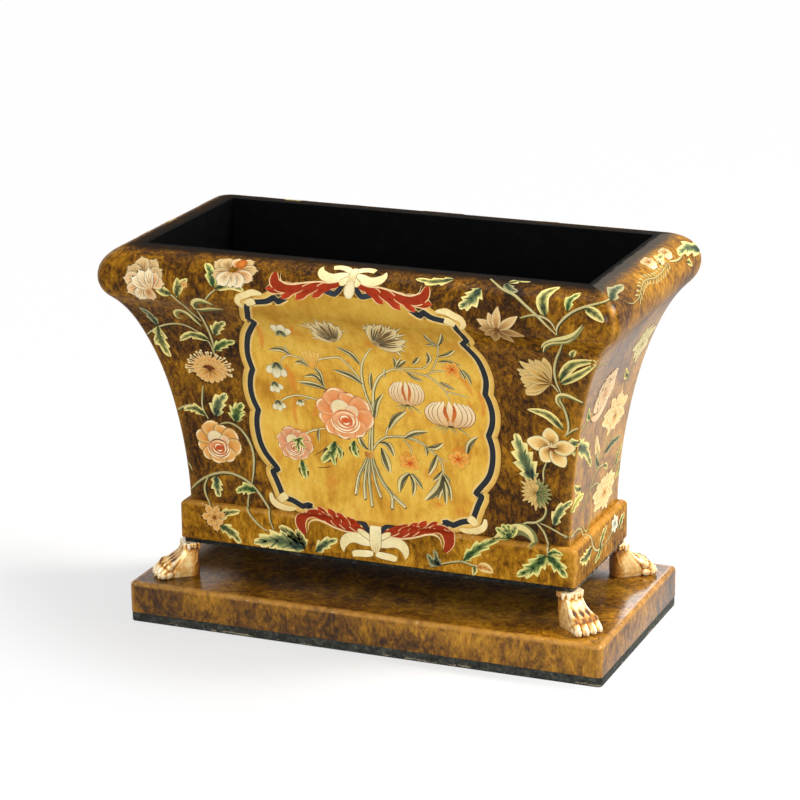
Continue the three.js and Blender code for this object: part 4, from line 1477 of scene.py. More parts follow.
FIELD_LEAVES = (
    ((-171, 190), (-182, 209), 8, -2, 2, LEAF_GREY),
    ((-171, 189), (-166, 160), 13, -3, 3, LEAF_CREAM),
    ((-171, 190), (-178, 172), 7, 2, 2, LEAF_CREAM),
    ((-147, 231), (-160, 239), 9, 2, 0, LEAF_CREAM),
    ((-143, 230), (-141, 245), 7, -1, 0, LEAF_CREAM),
    ((-142, 230), (-132, 245), 7, 2, 0, LEAF_CREAM),
    ((-123, 186), (-110, 202), 11, 2, 3, LEAF_CREAM),
    ((-126, 171), (-106, 182), 10, 2, 3, LEAF_GREEN),
    ((-128, 180), (-155, 177), 9, -6, 2, LEAF_CREAM),
    ((-110, 240), (-120, 259), 10, -2, 2, LEAF_GREEN),
    ((-109, 239), (-84, 239), 9, 5, 0, LEAF_CREAM),
    ((-133, 110), (-121, 132), 14, 3, 3, LEAF_BLUE),
    ((-116, 107), (-108, 125), 15, 2, 4, LEAF_GREEN),
    ((-142, 110), (-161, 113), 9, -4, 3, LEAF_CREAM),
    ((-137, 58), (-135, 40), 11, -1, 3, LEAF_BLUE),
    ((-102, 49), (-120, 46), 11, -3, 3, LEAF_GREEN),
    ((-135, 19), (-114, 28), 8, 2, 2, LEAF_CREAM),
    ((-133, 14), (-114, 1), 11, 2, 3, LEAF_CREAM),
    ((-58, 4), (-103, 3), 21, -4, 6, LEAF_BLUE),
    ((-62, 7), (-81, 20), 9, -2, 2, LEAF_CREAM),
    ((-58, 5), (-66, 19), 9, -1, 2, LEAF_CREAM),
    ((-49, 2), (-30, 15), 11, 2, 3, LEAF_BLUE),
    ((82, 267), (52, 263), 9, 3, 3, LEAF_CREAM),
    ((105, 260), (91, 243), 15, 2, 4, LEAF_BLUE),
    ((122, 268), (134, 260), 8, -2, 2, LEAF_GREY),
    ((124, 268), (140, 275), 8, 3, 2, LEAF_CREAM),
    ((159, 243), (164, 270), 10, 7, 0, LEAF_CREAM),
    ((175, 248), (182, 265), 8, 3, 2, LEAF_GREEN),
    ((188, 252), (204, 243), 8, 1, 0, LEAF_CREAM),
    ((160, 177), (194, 201), 9, 7, 0, LEAF_CREAM),
    ((160, 174), (192, 198), 7, -1, 0, LEAF_CREAM),
    ((159, 133), (131, 148), 8, -5, 0, LEAF_CREAM),
    ((133, 86), (120, 126), 19, 1, 5, LEAF_BLUE),
    ((161, 118), (176, 124), 9, 2, 2, LEAF_BLUE),
    ((148, 51), (164, 74), 10, 3, 3, LEAF_BLUE),
    ((76, 11), (106, 33), 11, 2, 4, LEAF_GREEN),
    ((144, 24), (120, 4), 15, 2, 4, LEAF_GREEN),
    ((145, 24), (161, 8), 13, 1, 3, LEAF_GREEN),
    ((145, 25), (158, 26), 6, 2, 2, LEAF_GREEN),
    ((56, 4), (46, 13), 7, 2, 2, LEAF_GREY),
    ((57, 4), (52, 17), 6, 1, 2, LEAF_GREY),
    ((87, 7), (101, 4), 8, 2, 0, LEAF_AMBER),
    ((85, 8), (84, 0), 5, 1, 0, LEAF_CREAM),
    ((173, 202), (178, 211), 5, 1, 0, LEAF_CREAM),
)
FIELD_SCROLLS = (
    (6.0, ((-130, 213), (-131, 220), (-127, 226), (-120, 227), (-112, 223))),
    (5.5, ((-132, 214), (-126, 214), (-118, 217), (-110, 218), (-105, 218))),
    (5.0, ((-131, 193), (-136, 200), (-140, 207), (-146, 210), (-151, 207), (-151, 201), (-146, 200))),
    (7.0, ((152, 209), (156, 216), (164, 222), (174, 226), (182, 231), (189, 239))),
    (4.5, ((152, 204), (155, 212), (163, 218), (173, 221), (180, 226))),
    (4.5, ((181, 157), (172, 161), (165, 164), (158, 163), (156, 157), (160, 151))),
    (10.0, ((98, 28), (104, 36), (112, 42), (122, 45), (130, 41), (133, 33), (130, 27))),
)
for width, path in FIELD_STEMS:
    stem(path, width)
for width, path in FIELD_SCROLLS:
    scroll(path, width, 3)
for base, tip, width, bend, teeth, look in FIELD_LEAVES:
    leaf(bowed(base, tip, bend), width, 3, look, teeth)
for angle, length in ((150, 13), (120, 12), (95, 11), (60, 12), (200, 9)):
    leaf([(112, 37), away((112, 37), angle, length)], 7, 4, LEAF_GREEN)
loose_bloom(-169, 240, 19, PEONY)
ragged_blossom(-135, 240, 3.5, GOLDEN, 4)
loose_bloom(-96, 255, 17, TUMBLED)
disc((-90, 261), 4.6, tints("cf7a2e a4561c"), 15)
daisy(-133, 153, 19)
amber = tints("b8601c dd9440 f0c47c 5c3010")
full_rose(-133, 87, 18.5, amber, tints("c4683a e4a470 f5dcaa 74401e c24a24"))
ragged_blossom(-137, 20, 13)
pointed_flower(120, 228, 19)
feather_tulip(140, 182, 19)
five_petals(149, 117, 17)
spiky_bud(135, 77, 15)
on_ground = brushed_paint("flower_paint", stipple)
painted("painted_flowers_", (0, 2), on_ground)

# The framed panel in the middle of the long sides: a golden ground inside a slate line, drawn as one outline
# of lobes and notches that is the same left and right. Its ground is golden yellow, uneven as it was brushed,
# with darker glazes and a fine net of cracks.
PANEL_MIDDLE = 1.5
FRAME_LINE = (
    *((52, 37.5), (58, 40), (57, 43.5), (64, 41), (72, 45), (80, 47), (82, 52), (85, 60), (88.5, 68)),
    *((83.5, 70.5), (88, 76), (94, 84), (97.5, 93), (99, 104), (98.5, 113), (96.5, 120.5), (100, 130)),
    *((101, 140), (99.5, 150), (96.8, 157), (98.8, 168), (98, 178), (95, 189), (90, 198), (85.5, 204.5)),
    *((90, 209), (87.5, 218), (84, 229), (79, 231), (68, 233), (61, 237), (58, 233.5), (51, 238)),
)
FRAME_CORNERS = {1, 2, 3, 8, 9, 15, 19, 24, 25, 30, 31}
CREAM_BAND = 6.6
SLATE, RED, RED_LIT = tints("23262a 963015 b23a1c")
BAND, BAND_EDGE, INNER_LINE, LEAF_EDGE, LEAF_EDGE_LIT = tints("e2bc64 cfa04a e3c178 d9a878 ecc98e")
(GOLD_CLEAR,) = tints("d8a848", 0.0)


def through(points, corners, step):
    """A curve through points that stays sharp at the corners named by their place in the list."""
    curve, begin = [], 0
    for i in range(1, len(points)):
        if i in corners or i == len(points) - 1:
            curve[-1:] = [place[:2] for place in smooth_path(points[begin : i + 1], step)]
            begin = i
    return curve


def pushed(path, aside):
    """The path moved to its right by aside, with its corners kept together."""
    headings = [heading(path, i) for i in range(len(path))]
    return [(x + aside * ds, s - aside * dx) for (x, s), (dx, ds) in zip(path, headings)]


def ribbon(path, left, right, colours, layer):
    """A flat ribbon of paint along close points, with a colour for each of its edges."""
    rows = []
    for a, b in zip(pushed(path, left), pushed(path, right)):
        rows.append([(*place, colour) for place, colour in zip((a, between(a, b, 0.5), b), colours)])
    lay(rows, layer)


def edged(path, width, layer, ends, colours=tints("f5e8b8 ecd898"), shade=tints("8a6230"), line=1.0):
    """A stroke of pale colour with a thin darker line round it."""
    brush(path, width + line, shade, layer, ends, 2.0)
    brush(path, width, colours, layer + 1, ends, 2.0)


# Half of the leaves at the head and the foot of the frame, from its middle line outwards: the lobes of the
# red acanthus with their widths, the pale line along its back, the slate bracket, and the palmette's lobes.
HEAD_LOBES = (
    (5.5, ((6, 253), (14, 250.5), (24, 249.5), (36, 247.5), (48, 245.5))),
    (7.0, ((15, 250), (22, 247), (28.5, 240))),
    (7.2, ((26, 249), (35, 244.5), (42.5, 237))),
    (7.0, ((38, 247.5), (47, 244), (54.5, 236.5))),
    (6.6, ((47, 246), (57, 244), (68, 243.5))),
    (7.4, ((46, 246.5), (55, 245.5), (61, 249), (62, 257))),
)
HEAD_BACK = (
    (7, 254.5),
    (15, 252.2),
    (25, 252.3),
    (35, 250.8),
    (45, 248.6),
    (52, 248.6),
    (56.5, 251.5),
    (57.5, 258),
)
HEAD_BRACKET = ((4.5, 251.5), (7.5, 247.5), (11, 244.2), (15, 244.8), (21, 245.2))
HEAD_CREAM = (
    (7.6, (0.6, 0.0), ((1, 260), (8, 258.5), (15, 256.3), (21.5, 257.5), (25.5, 261.5), (25.8, 267))),
    (5.6, (0.6, 0.8), ((1, 263), (6, 266.5), (12, 267.8), (17, 266.4))),
    (5.4, (0.6, 0.5), ((1, 258), (4.5, 254.5), (8, 252))),
)
FOOT_LOBES = (
    (5.8, ((5, 26), (12, 25.2), (22, 25.8), (34, 28.5), (46, 32))),
    (6.6, ((12, 25.5), (19, 30), (25.5, 37))),
    (6.8, ((22, 26), (28.5, 32), (34, 39.5))),
    (6.8, ((30, 27.5), (36.5, 34.5), (41.5, 42))),
    (7.0, ((38, 29.5), (45.5, 36), (50.5, 42.5))),
    (8.8, ((42, 31.5), (53, 35.5), (61, 31.5), (63, 24), (59, 16))),
)
FOOT_BACK = ((6, 23.8), (14, 22.8), (24, 22.6), (34, 24.8), (44, 28.3), (51, 28.8), (55.5, 26), (57, 19))
FOOT_BRACKET = ((3, 22.5), (6, 27), (10.5, 31.3), (15.5, 31.2), (21, 31.6))
FOOT_CREAM = (
    (8.4, (0.6, 0.0), ((0, 16), (9, 17), (17, 18.6), (23.5, 16.5), (26.5, 11), (26.2, 5.5))),
    (5.6, (0.6, 0.8), ((1, 7), (8, 6.3), (14, 5.8), (19, 4.6))),
    (4.4, (0.7, 0.4), ((1, 18), (8, 22.5), (14, 25.8))),
)
KNOTS = (
    (5.2, (0.3, 0.5), ((71, 238.6), (79, 239.2), (85, 236.6), (90.5, 234.3), (92.3, 230), (89, 224.5))),
    (6.0, (0.8, 0.8), ((77.5, 232.4), (81.5, 231), (85.5, 228.6))),
    (5.4, (0.4, 0.3), ((91, 49.5), (89.8, 43.5), (85, 39.6), (77, 37.6), (69, 38.8))),
    (6.4, (0.8, 0.8), ((77, 49.2), (80.5, 46.8), (83.5, 43.6))),
)


KNOT_LINE = ((70, 236), (80, 235.4), (86, 232))
outline = through(FRAME_LINE, FRAME_CORNERS, 1.5)
low, high = FRAME_LINE[0][1] - 6.0, FRAME_LINE[-1][1] + 5.0
PANEL_ROWS = 104
PANEL_SPANS = 48
LEAST_HALF = 50.0
CAP_HALF = 56.0
rows = []
for i in range(PANEL_ROWS + 1):
    run = low + (high - low) * i / PANEL_ROWS
    half = LEAST_HALF
    for a, b in zip(outline, outline[1:]):
        if min(a[1], b[1]) <= run <= max(a[1], b[1]) and a[1] != b[1]:
            half = max(half, a[0] + (b[0] - a[0]) * (run - a[1]) / (b[1] - a[1]))
    if run < outline[0][1] or run > outline[-1][1]:
        half = CAP_HALF
    across = [PANEL_MIDDLE + half * (2 * k / PANEL_SPANS - 1.0) for k in range(PANEL_SPANS + 1)]
    rows.append([(x, run, GOLD_CLEAR) for x in across])
lay(rows, 0)


def halved(points, sign):
    """The points on one side of the panel's middle line."""
    return [(PANEL_MIDDLE + sign * x, s) for x, s in points]


LEAFAGE = ((HEAD_LOBES, HEAD_BACK, HEAD_BRACKET), (FOOT_LOBES, FOOT_BACK, FOOT_BRACKET))
for sign in (-1, 1):
    path = halved(outline, sign)[::sign]
    ribbon(path, -1.0, CREAM_BAND, (BAND, BAND, BAND_EDGE), 1)
    ribbon(path, -5.0, -1.0, (GOLD_CLEAR, INNER_LINE, INNER_LINE), 1)
    ribbon(path, -2.7, 2.7, (*tints("e6cb8c"), SLATE, *tints("e6cb8c")), 2)
    ribbon(path, -2.3, 2.3, (SLATE, *tints("2c2f31"), SLATE), 3)
    ribbon(path, CREAM_BAND - 0.2, CREAM_BAND + 0.8, tints("5e4018 5e4018 3c2810"), 0)
    for lobes, back, bracket in LEAFAGE:
        brush(halved(bracket, sign), 5.4, (BAND,), 4, (0.4, 0.2), 2.0)
        brush(halved(bracket, sign), 4.4, (SLATE, *tints("3a4046")), 5, (0.4, 0.0), 2.0)
        for k, (width, path) in enumerate(lobes):
            ends = (0.7, 0.3 if k in (0, 5) else 0.0)
            lit = RED_LIT if k in (1, 2, 3) else RED
            brush(halved(path, sign), width + 1.7, (LEAF_EDGE, LEAF_EDGE_LIT), 4 + 0.8 * k, ends, 2.0)
            brush(halved(path, sign), width, (RED, lit), 4.4 + 0.8 * k, ends, 2.0)
        for width, path in lobes[1:5]:
            tip = path[-1]
            inside = [((2 * x + tip[0]) / 3 + 0.8, (2 * s + tip[1]) / 3) for x, s in path]
            brush(halved(inside, sign), 0.26 * width, tints("7c1d0c c84a24"), 9, (0.3, 0.0), 2.4)
        brush(halved(back, sign), 1.25, tints("e6bf8a f0d8a0"), 9.5, (0.3, 0.0), 2.0)
    for width, ends, path in HEAD_CREAM + FOOT_CREAM:
        edged(halved(path, sign), width, 7 if width > 6 else 9, ends)
    for width, ends, path in KNOTS:
        layer = 6 if len(path) > 3 else 8
        edged(halved(path, sign), width, layer, ends, tints("efdca0 e8cf8c"), tints("ab8238"), 0.8)
    brush(halved(KNOT_LINE, sign), 0.7, tints("a9803a"), 10, (0.3, 0.0))
palmette = tints("e6d294 f4e7b8 f2e2ae 8a6430")
axis = PANEL_MIDDLE + 0.7
edged([(axis, s) for s in (268, 261, 252)], 5.6, 10, (0.5, 0.9))
petal((axis, 258), -90, 16.5, 9.4, 12, palmette, point=1.55)
edged([(PANEL_MIDDLE + 1, s) for s in (30, 24, 17, 8)], 9.5, 10, (0.95, 0.2), line=0.8)
for s in (262, 15):
    for aside in (-1.6, 0.1, 1.7):
        vein = [(axis + 0.5 * aside, s - 8), (axis + 1.5 * aside, s)]
        brush(vein, 0.5, tints("b08a4c c9a566"), 14, (0.2, 0.0), 4.0)

# The bouquet on the panel: stems tied in the middle, slender grey-green leaves and pale flowers. All of it is
# drawn in fine dark lines and filled with thin pale colour, and laid on the panel as one film with the frame.
FINE = tints("55472c")
(GLAZE,) = tints("d4792c", 0.5)
BOUQUET_STEMS = (
    (
        2.6,
        (
            (-2.5, 96), (-0.5, 112), (2, 124), (3, 132), (-1, 146),
            (-2.3, 162), (-0.4, 173), (4, 182), (10, 190),
        ),
    ),
    (
        3.0,
        (
            (0, 96), (1.5, 112), (2.8, 125), (4.6, 139), (6.5, 151),
            (12, 162), (19, 168), (25, 170.8), (33, 170.8),
        ),
    ),
    (2.6, ((0.5, 97), (5, 103.5), (12.5, 109), (23.8, 111.2), (36, 110), (45, 106), (52.5, 99.5), (62, 94))),
    (1.3, ((33, 171), (44, 169.5), (53, 168), (60, 163), (65, 157), (69, 148))),
    (1.1, ((65, 156), (72, 155), (84, 152.5))),
    (1.2, ((25, 172.5), (36, 173.5), (47, 174.5), (53.5, 178), (55, 188))),
    (1.3, ((52, 169), (58, 173), (64, 174.5), (67, 174))),
    (1.1, ((57, 174), (64, 188), (66.5, 199), (73, 214))),
    (1.5, ((52.5, 99.5), (58, 92), (58.8, 82))),
    (1.1, ((27.5, 109), (32.5, 103), (33, 97))),
    (
        1.9,
        (
            (-1.5, 146), (-4, 157), (-8.8, 166), (-16, 174.5),
            (-20, 177), (-30, 175), (-37.5, 172), (-44.5, 162),
        ),
    ),
    (1.5, ((-46, 166), (-52, 172), (-60, 174), (-66, 172), (-70, 166))),
    (1.4, ((-60, 174.5), (-63, 180), (-63.5, 184))),
    (1.8, ((-40, 135), (-50, 137), (-60, 137.6), (-68, 135), (-74, 131), (-77.5, 127))),
    (1.0, ((-48.8, 136), (-55, 133.5), (-57, 131))),
    (2.0, ((-62.5, 98), (-57.5, 103), (-50, 107.6), (-38.8, 111))),
    (1.6, ((12, 108), (14, 116), (20, 125))),
    (2.4, ((16.5, 163), (17.5, 171))),
)
BOUQUET_FEET = (
    (2.4, ((-3.5, 92), (-8, 82), (-12.5, 73), (-16, 57))),
    (2.4, ((-2.6, 92), (-5.5, 81), (-8, 67), (-8, 54))),
    (2.0, ((-2, 92), (-3, 82), (-3.8, 70), (-2.3, 48.5))),
    (2.2, ((-1, 92), (-0.3, 82), (2, 68), (5.5, 57))),
    (2.4, ((0.3, 92), (1.8, 84), (7, 71), (15, 61), (26, 51))),
    (2.4, ((9, 68), (14, 61.5), (15.3, 55), (14.5, 48.5))),
)
BLADES = (
    (4.6, 1, ((-60, 174.5), (-67.5, 179), (-78, 177))),
    (4.8, -1, ((-34, 146), (-44, 149), (-58, 150))),
    (4.2, 1, ((-35, 148), (-42, 157), (-52, 155))),
    (3.6, 1, ((-36, 150), (-38, 160), (-44, 167))),
    (3.6, 1, ((-46, 165), (-52, 168.5), (-58, 167))),
    (5.4, 1, ((-2, 154), (-12, 161), (-26, 164.5))),
    (4.6, 1, ((-2, 172), (-8, 181), (-20, 187.5))),
    (4.6, -1, ((-3.8, 97), (-8, 101), (-11, 109))),
    (2.6, 1, ((-44, 110), (-45, 104), (-44.4, 98))),
    (4.0, 1, ((5, 125), (7.5, 138), (14, 148))),
    (3.0, -1, ((4, 150), (4.5, 160), (6, 167))),
    (4.8, -1, ((27.5, 110.5), (36, 115.5), (48, 118.5))),
    (4.6, 1, ((48, 104.5), (54, 105.5), (61, 110))),
    (5.0, 1, ((55, 99), (51, 90), (46.5, 80.5))),
    (3.0, -1, ((45, 106), (46, 102), (45.5, 97))),
    (5.0, 1, ((7.5, 103.5), (14, 103), (19, 93))),
    (7.0, 1, ((8.8, 99), (11, 89), (14.6, 78.5))),
    (6.0, -1, ((30, 81), (24, 74), (21, 63.5))),
    (4.0, 1, ((31, 80), (34, 71), (32.5, 60.5))),
    (3.6, -1, ((32, 81), (37, 75), (41, 68))),
    (7.6, -1, ((58.8, 82), (53, 69), (42, 59.5))),
    (4.4, 1, ((58.8, 82), (56, 70), (54, 61))),
    (4.6, 1, ((58.8, 82), (59.5, 69), (60.5, 57))),
    (4.0, 1, ((58.8, 82), (63, 72), (64.5, 61))),
    (3.0, -1, ((58.8, 84), (62, 80), (64, 77))),
    (3.4, 1, ((58.5, 86), (54, 80), (49.5, 76))),
    (5.0, -1, ((78.8, 102.5), (82, 112), (89, 119.5))),
    (5.6, 1, ((16, 116.5), (22, 127), (32, 134))),
    (3.2, 1, ((27, 173), (28, 178), (27, 183.5))),
    (3.4, -1, ((27, 173), (30, 178), (33, 183))),
    (3.4, -1, ((28, 173), (32, 177), (37, 181.5))),
    (3.6, 1, ((42, 178), (45, 181), (49, 186))),
    (4.0, 1, ((54.5, 180), (57, 185), (56, 192))),
    (3.6, 1, ((66, 200), (60, 205), (57.5, 213))),
    (3.4, -1, ((66, 200), (70, 206), (73, 216))),
    (3.4, 1, ((64.5, 188), (72, 191), (80, 197))),
    (2.4, 1, ((66, 198), (62, 200), (56, 199))),
    (3.0, -1, ((62, 164), (70, 160), (74, 158.5))),
    (3.2, 1, ((36, 170), (42, 165), (49, 163))),
    (3.4, 1, ((64, 183), (72, 184), (82, 181))),
    (3.0, -1, ((78, 180), (82, 174), (83, 168))),
    (3.0, -1, ((82, 178), (86, 172), (88, 164))),
)
GREEN_LEAVES = (
    (11, ((-31, 100.5), (-34, 92), (-44, 81)), LEAF_GREEN),
    (6, ((-32, 96), (-34, 88), (-32, 79)), LEAF_GREEN),
    (6, ((-31, 98), (-27, 90), (-29, 85)), LEAF_GREEN),
    (8, ((-14.5, 103), (-15.5, 96), (-12, 89)), LEAF_GREEN),
    (8, ((-61, 81), (-60, 73), (-58, 64.5)), LEAF_GREEN),
)
# Warm glazes, brushed thin on the gold near the frame and behind the flowers.
GLAZES = (
    (7, ((-84, 208), (-82, 192), (-84, 176))),
    (9, ((-66, 165), (-63, 152), (-60, 140))),
    (6, ((-62, 136), (-64, 122), (-62, 110))),
    (6, ((92, 160), (96, 148), (94, 135))),
    (7, ((20, 150), (24, 160))),
    (7, ((74, 172), (82, 168), (88, 154))),
    (5, ((-52, 206), (-56, 196))),
    (9, ((66, 104), (74, 106), (82, 98))),
    (9, ((24, 96), (34, 96))),
    (6, ((-44, 130), (-48, 118))),
    (6, ((-64, 108), (-52, 104), (-50, 92))),
    (5, ((50, 58), (58, 56))),
    (5, ((-12, 176), (-14, 170))),
    (5, ((84, 150), (86, 138))),
)
# The small white bells: place, radius and lean. The orange lilies: place, radius and petals.
BELLS = (
    (-64.5, 190.7, 6.6, 165),
    (-73.8, 157.6, 7.0, -10),
    (-78, 142, 4.8, 20),
    (-77, 125.8, 4.6, 12),
    (-57.8, 130.6, 2.8, 0),
)
LILIES = (
    (31.3, 88.9, 10, ((145, 1.05), (60, 1.0), (20, 0.85), (-20, 0.9), (-75, 0.6), (200, 0.9), (100, 0.7))),
    (71.9, 97.6, 11, ((160, 0.85), (95, 0.7), (25, 1.0), (-12, 0.95), (-65, 0.85), (220, 0.8))),
    (74, 177, 10, ((170, 0.9), (120, 0.8), (60, 0.8), (10, 0.7), (230, 0.9), (-50, 0.9))),
)


def blade(path, width, side, layer):
    """A slender leaf: a dark line round it, pale inside, and a dark stroke along one side of its rib."""
    brush(path, width + 0.8, FINE, layer, (0.2, 0.0), ramp=0.55)
    brush(path, width - 0.2, tints("c3b47c ecd899"), layer + 1, (0.2, 0.0), ramp=0.55)
    shade = moved(path, -0.14 * width * side, 0.1 * width * side)
    brush(shade, 0.46 * width, tints("3c3a26 77704a"), layer + 2, (0.3, 0.0), ramp=0.5)


def bell(x, s, r, lean, layer=8):
    """A small white hanging flower with a dark calyx."""
    for k, angle in enumerate((-138, -42, -90)):
        look = tints("a89c66 e3d8ac efe5c0 7c7446")
        petal((x, s + 0.7 * r), angle + lean, 1.6 * r, 1.15 * r, layer + k, look, fine=4)
    leaf([(x, s + 1.2 * r), (x + 0.6 * r, s + 0.2 * r)], 0.8 * r, layer + 3, LEAF_GREY)
    leaf([(x, s + 1.2 * r), (x - 0.6 * r, s + 0.3 * r)], 0.7 * r, layer + 3, LEAF_GREY)


def lantern(x, s, wide, tall, layer=8):
    """A flower like a small lantern: pale petals that swell and meet at the foot, with rust between them."""
    for k, v in enumerate((-1.0, 1.0, -0.82, 0.84, -0.62, 0.6, -0.38, 0.36, 0.02)):
        head = ((0.36 + 0.035 * v, 0.34), (0.3, 0.5 - 0.12 * v * v))
        swell = ((0.06, -0.5), (0.36, -0.32), (0.47, 0.02), *head)
        path = [(x + across * wide * v, s + up * tall) for across, up in swell]
        share = 0.17 if abs(v) > 0.7 else 0.2
        here = layer + 0.9 * k
        brush(path, share * wide, tints("8a5a34 74543a"), here, (0.3, 0.0), 2.2, ramp=0.55)
        brush(path, (share - 0.03) * wide, tints("d6a468 f9e6ba"), here + 0.5, (0.3, 0.0), 2.2, ramp=0.55)
    for v, share in ((-0.2, 0.85), (0.2, 1.0)):
        gap = ((0.1, -0.36 * share), (0.5, 0.0), (0.46, 0.36 * share))
        path = [(x + across * wide * v, s + up * tall) for across, up in gap]
        brush(path, 0.085 * wide, tints("cc7434 b45424"), layer + 9, (0.1, 0.0), 2.2, ramp=0.5)
    for k in range(9):
        v = (k - 4) / 4
        foot = (x + 0.1 * wide * v, s - 0.48 * tall)
        tip = (x + 0.4 * wide * v, s - (0.62 + 0.1 * (k % 3)) * tall)
        middle = ((foot[0] + tip[0]) / 2 + 0.8, (foot[1] + tip[1]) / 2)
        brush([foot, middle, tip], 1.1, tints("6c6a3c c3b878"), layer + 1, (0.5, 0.0), 3.0)
    seat = [(x - 0.07 * wide, s - 0.5 * tall), (x + 0.07 * wide, s - 0.5 * tall)]
    brush(seat, 1.8, FINE, layer + 10, (0.3, 0.3), 2.0)


def plume(x, s, r, lean, layer=8, fringe=9):
    """A large closed tulip in thin buff, its petals veined and split at their edges into dark points."""
    look = tints("8e7244 cfb072 f0dfa8 4e4230")
    foot = away((x, s), lean, -0.95 * r)
    for k in range(fringe):
        v = 2.0 * k / (fringe - 1) - 1.0
        for part in (0, 1):
            a = away(foot, lean + 50 * v, (1.25 - 0.3 * abs(v)) * r)
            b = away(foot, lean + 62 * v + 5 * part, (2.15 - 0.75 * abs(v) - 0.22 * part) * r)
            brush([a, b], 0.2 * r, FINE, layer, (0.7, 0.0), ramp=0.6)
            brush([a, b], 0.12 * r, look[1:3], layer + 0.6, (0.7, 0.0), ramp=0.6)
    petals = ((42, 1.45, 0.7), (-42, 1.45, 0.7), (24, 1.75, 0.72), (-24, 1.75, 0.72), (2, 1.85, 0.8))
    for k, (angle, share, width) in enumerate(petals):
        petal(foot, lean + angle, share * r, width * r, layer + 1 + 0.9 * k, look, point=1.2, full=0.75)
    for k in range(13):
        v = (k - 6) / 6
        bow = ((52, 0.25), (44, 0.85), (40, 1.5 - 0.3 * abs(v)))
        vein = [away(foot, lean + turn * v, reach * r) for turn, reach in bow]
        brush(vein, 0.06 * r, look[3:], layer + 6, (0.3, 0.0), 3.0)
    for v in (-0.55, 0.1, 0.6):
        streak = [away(foot, lean + turn * v, reach * r) for turn, reach in ((38, 0.5), (34, 1.1), (38, 1.7))]
        brush(streak, 0.1 * r, tints("8c6a3c 5c4428"), layer + 6.5, (0.1, 0.0), ramp=0.5)


def lily(x, s, r, petals, layer=8):
    """A small orange flower drawn in outline, with a few strokes from its heart."""
    look = tints("cf6a24 e89a3c f0b858 9c5a1e")
    for k, (angle, share) in enumerate(petals):
        bend = 0.05 * (-1) ** k
        here = layer + 0.5 * k
        petal((x, s), angle, share * r, 0.56 * r, here, look, bend, 0.1, 1.15, 0.7)
        stroke = [(x, s), away((x, s), angle, 0.6 * share * r)]
        brush(stroke, 0.07 * r, tints("c4521c c87a30"), layer + 5, (0.8, 0.0), 3.0)
    disc((x, s), 0.13 * r, tints("d8501c c4521c"), layer + 6)


for width, path in GLAZES:
    brush(path, width, (GLAZE,), 1, (0.2, 0.0), rim=(*GLAZE[:3], 0.0), ramp=0.5)
for width, path in BOUQUET_STEMS:
    edged(path, 0.72 * width, 3, (0.8, 0.3), tints("d3c48a e4d6a0"), FINE, 0.7)
    if width > 2:
        shade = moved(path, 0.26 * width, -0.1 * width)
        brush(shade, 0.24 * width, tints("5d5a34 8a8452"), 5, (0.5, 0.2))
for width, path in BOUQUET_FEET:
    edged(path, width, 5, (0.4, 0.95), tints("b9ad76 e9dba6"), FINE, 0.9)
    brush(moved(path, 0.22 * width, 0.0), 0.3 * width, tints("4a4428 7d744a"), 7, (0.4, 0.3))
    cut_end = [path[-1], (path[-1][0] + 0.4, path[-1][1] - 0.9)]
    brush(cut_end, 0.9 * width, tints("4a3c22"), 7, (0.9, 0.9), 2.0)
for width, side, path in BLADES:
    blade(path, width, side, 4)
for width, path, look in GREEN_LEAVES:
    brush(path, width + 0.6, FINE, 4, (0.1, 0.0), ramp=0.5)
    leaf(path, width, 5, look, 2)
for path in (((-50, 86), (-44, 90), (-34, 99)), ((-48, 76), (-40, 77), (-35, 79))):
    brush(path, 0.7, FINE, 3, (0.3, 0.2))
plume(-24.5, 204, 13.5, 112)
plume(25, 204, 16.5, 40, fringe=11)
for angle in (150, 120, 100):
    point = [(-36, 204), away((-36, 204), angle, 11, 9 / 11)]
    edged(point, 2.2, 7, (0.6, 0.0), tints("cfae70 d9bc80"), FINE, 0.8)
for x, s, r, lean in BELLS:
    bell(x, s, r, lean)
for k, aside in enumerate((-6, 6, -3, 3, 0)):
    point = [(-43.8, 163), (-43.5 + 0.5 * aside, 171), (-43 + 1.2 * aside, 181 - abs(aside) * 0.3)]
    edged(point, 4.4, 4 + k, (0.2, 0.3), tints("d99a3e e7bd62"), tints("9a7638"), 0.6)
lantern(33.4, 150.8, 27.5, 22)
lantern(67.8, 136.4, 39, 22.5)
outer = tints("d0622e e38d50 f0b47c c46a38")
full_rose(-21, 125, 22.5, outer, tints("dc8454 eeb280 f9e4b4 c8703e d0502a"))
outer = tints("b85c3a d98c60 ecba86 a05434")
full_rose(-66, 94, 14.5, outer, tints("c88058 dfa67c f4dcae a85c3c b8502c"))
for tip, bend in (((-66, 90), 1), ((-56, 92), -1), ((-63, 86), 0), ((-68, 98), 1), ((-58, 100), 0)):
    leaf(bowed((-62.5, 99), tip, bend), 3.6, 17, LEAF_GREEN)
for x, s, r, petals in LILIES:
    lily(x, s, r, petals)
for k in range(3):
    tie = [(-6.5, 94.6 - 1.5 * k), (-2, 93.4 - 1.5 * k), (2.2, 95.4 - 1.6 * k)]
    brush(tie, 1.9, tints("a8601e e0ac54"), 9 + k, (0.4, 0.3), 2.0)
panel_gold, given, result = new_group("panel_gold", [("Color", "Color"), ("Height", "Float")])
place = own_place(panel_gold)
drawn = add_node(panel_gold, "Mapping", Vector=place, Scale=(1.0, 1.0, 0.35)).outputs["Vector"]
hairs = noise(drawn, 190.0, 4.0, 0.7)
tone = times(noise(place, 22.0, 3.0, 0.55, 0.5), 0.62)
tone = times(hairs, 0.38, tone)
golds = [(0.34, "b87f26"), (0.43, "d29c36"), (0.52, "e2b346"), (0.62, "eac056"), (0.72, "efcd72")]
glaze = ramped(noise(place, 60.0, 2.0, 0.5), 0.58, 0.74)
glaze = times(glaze, 0.5)
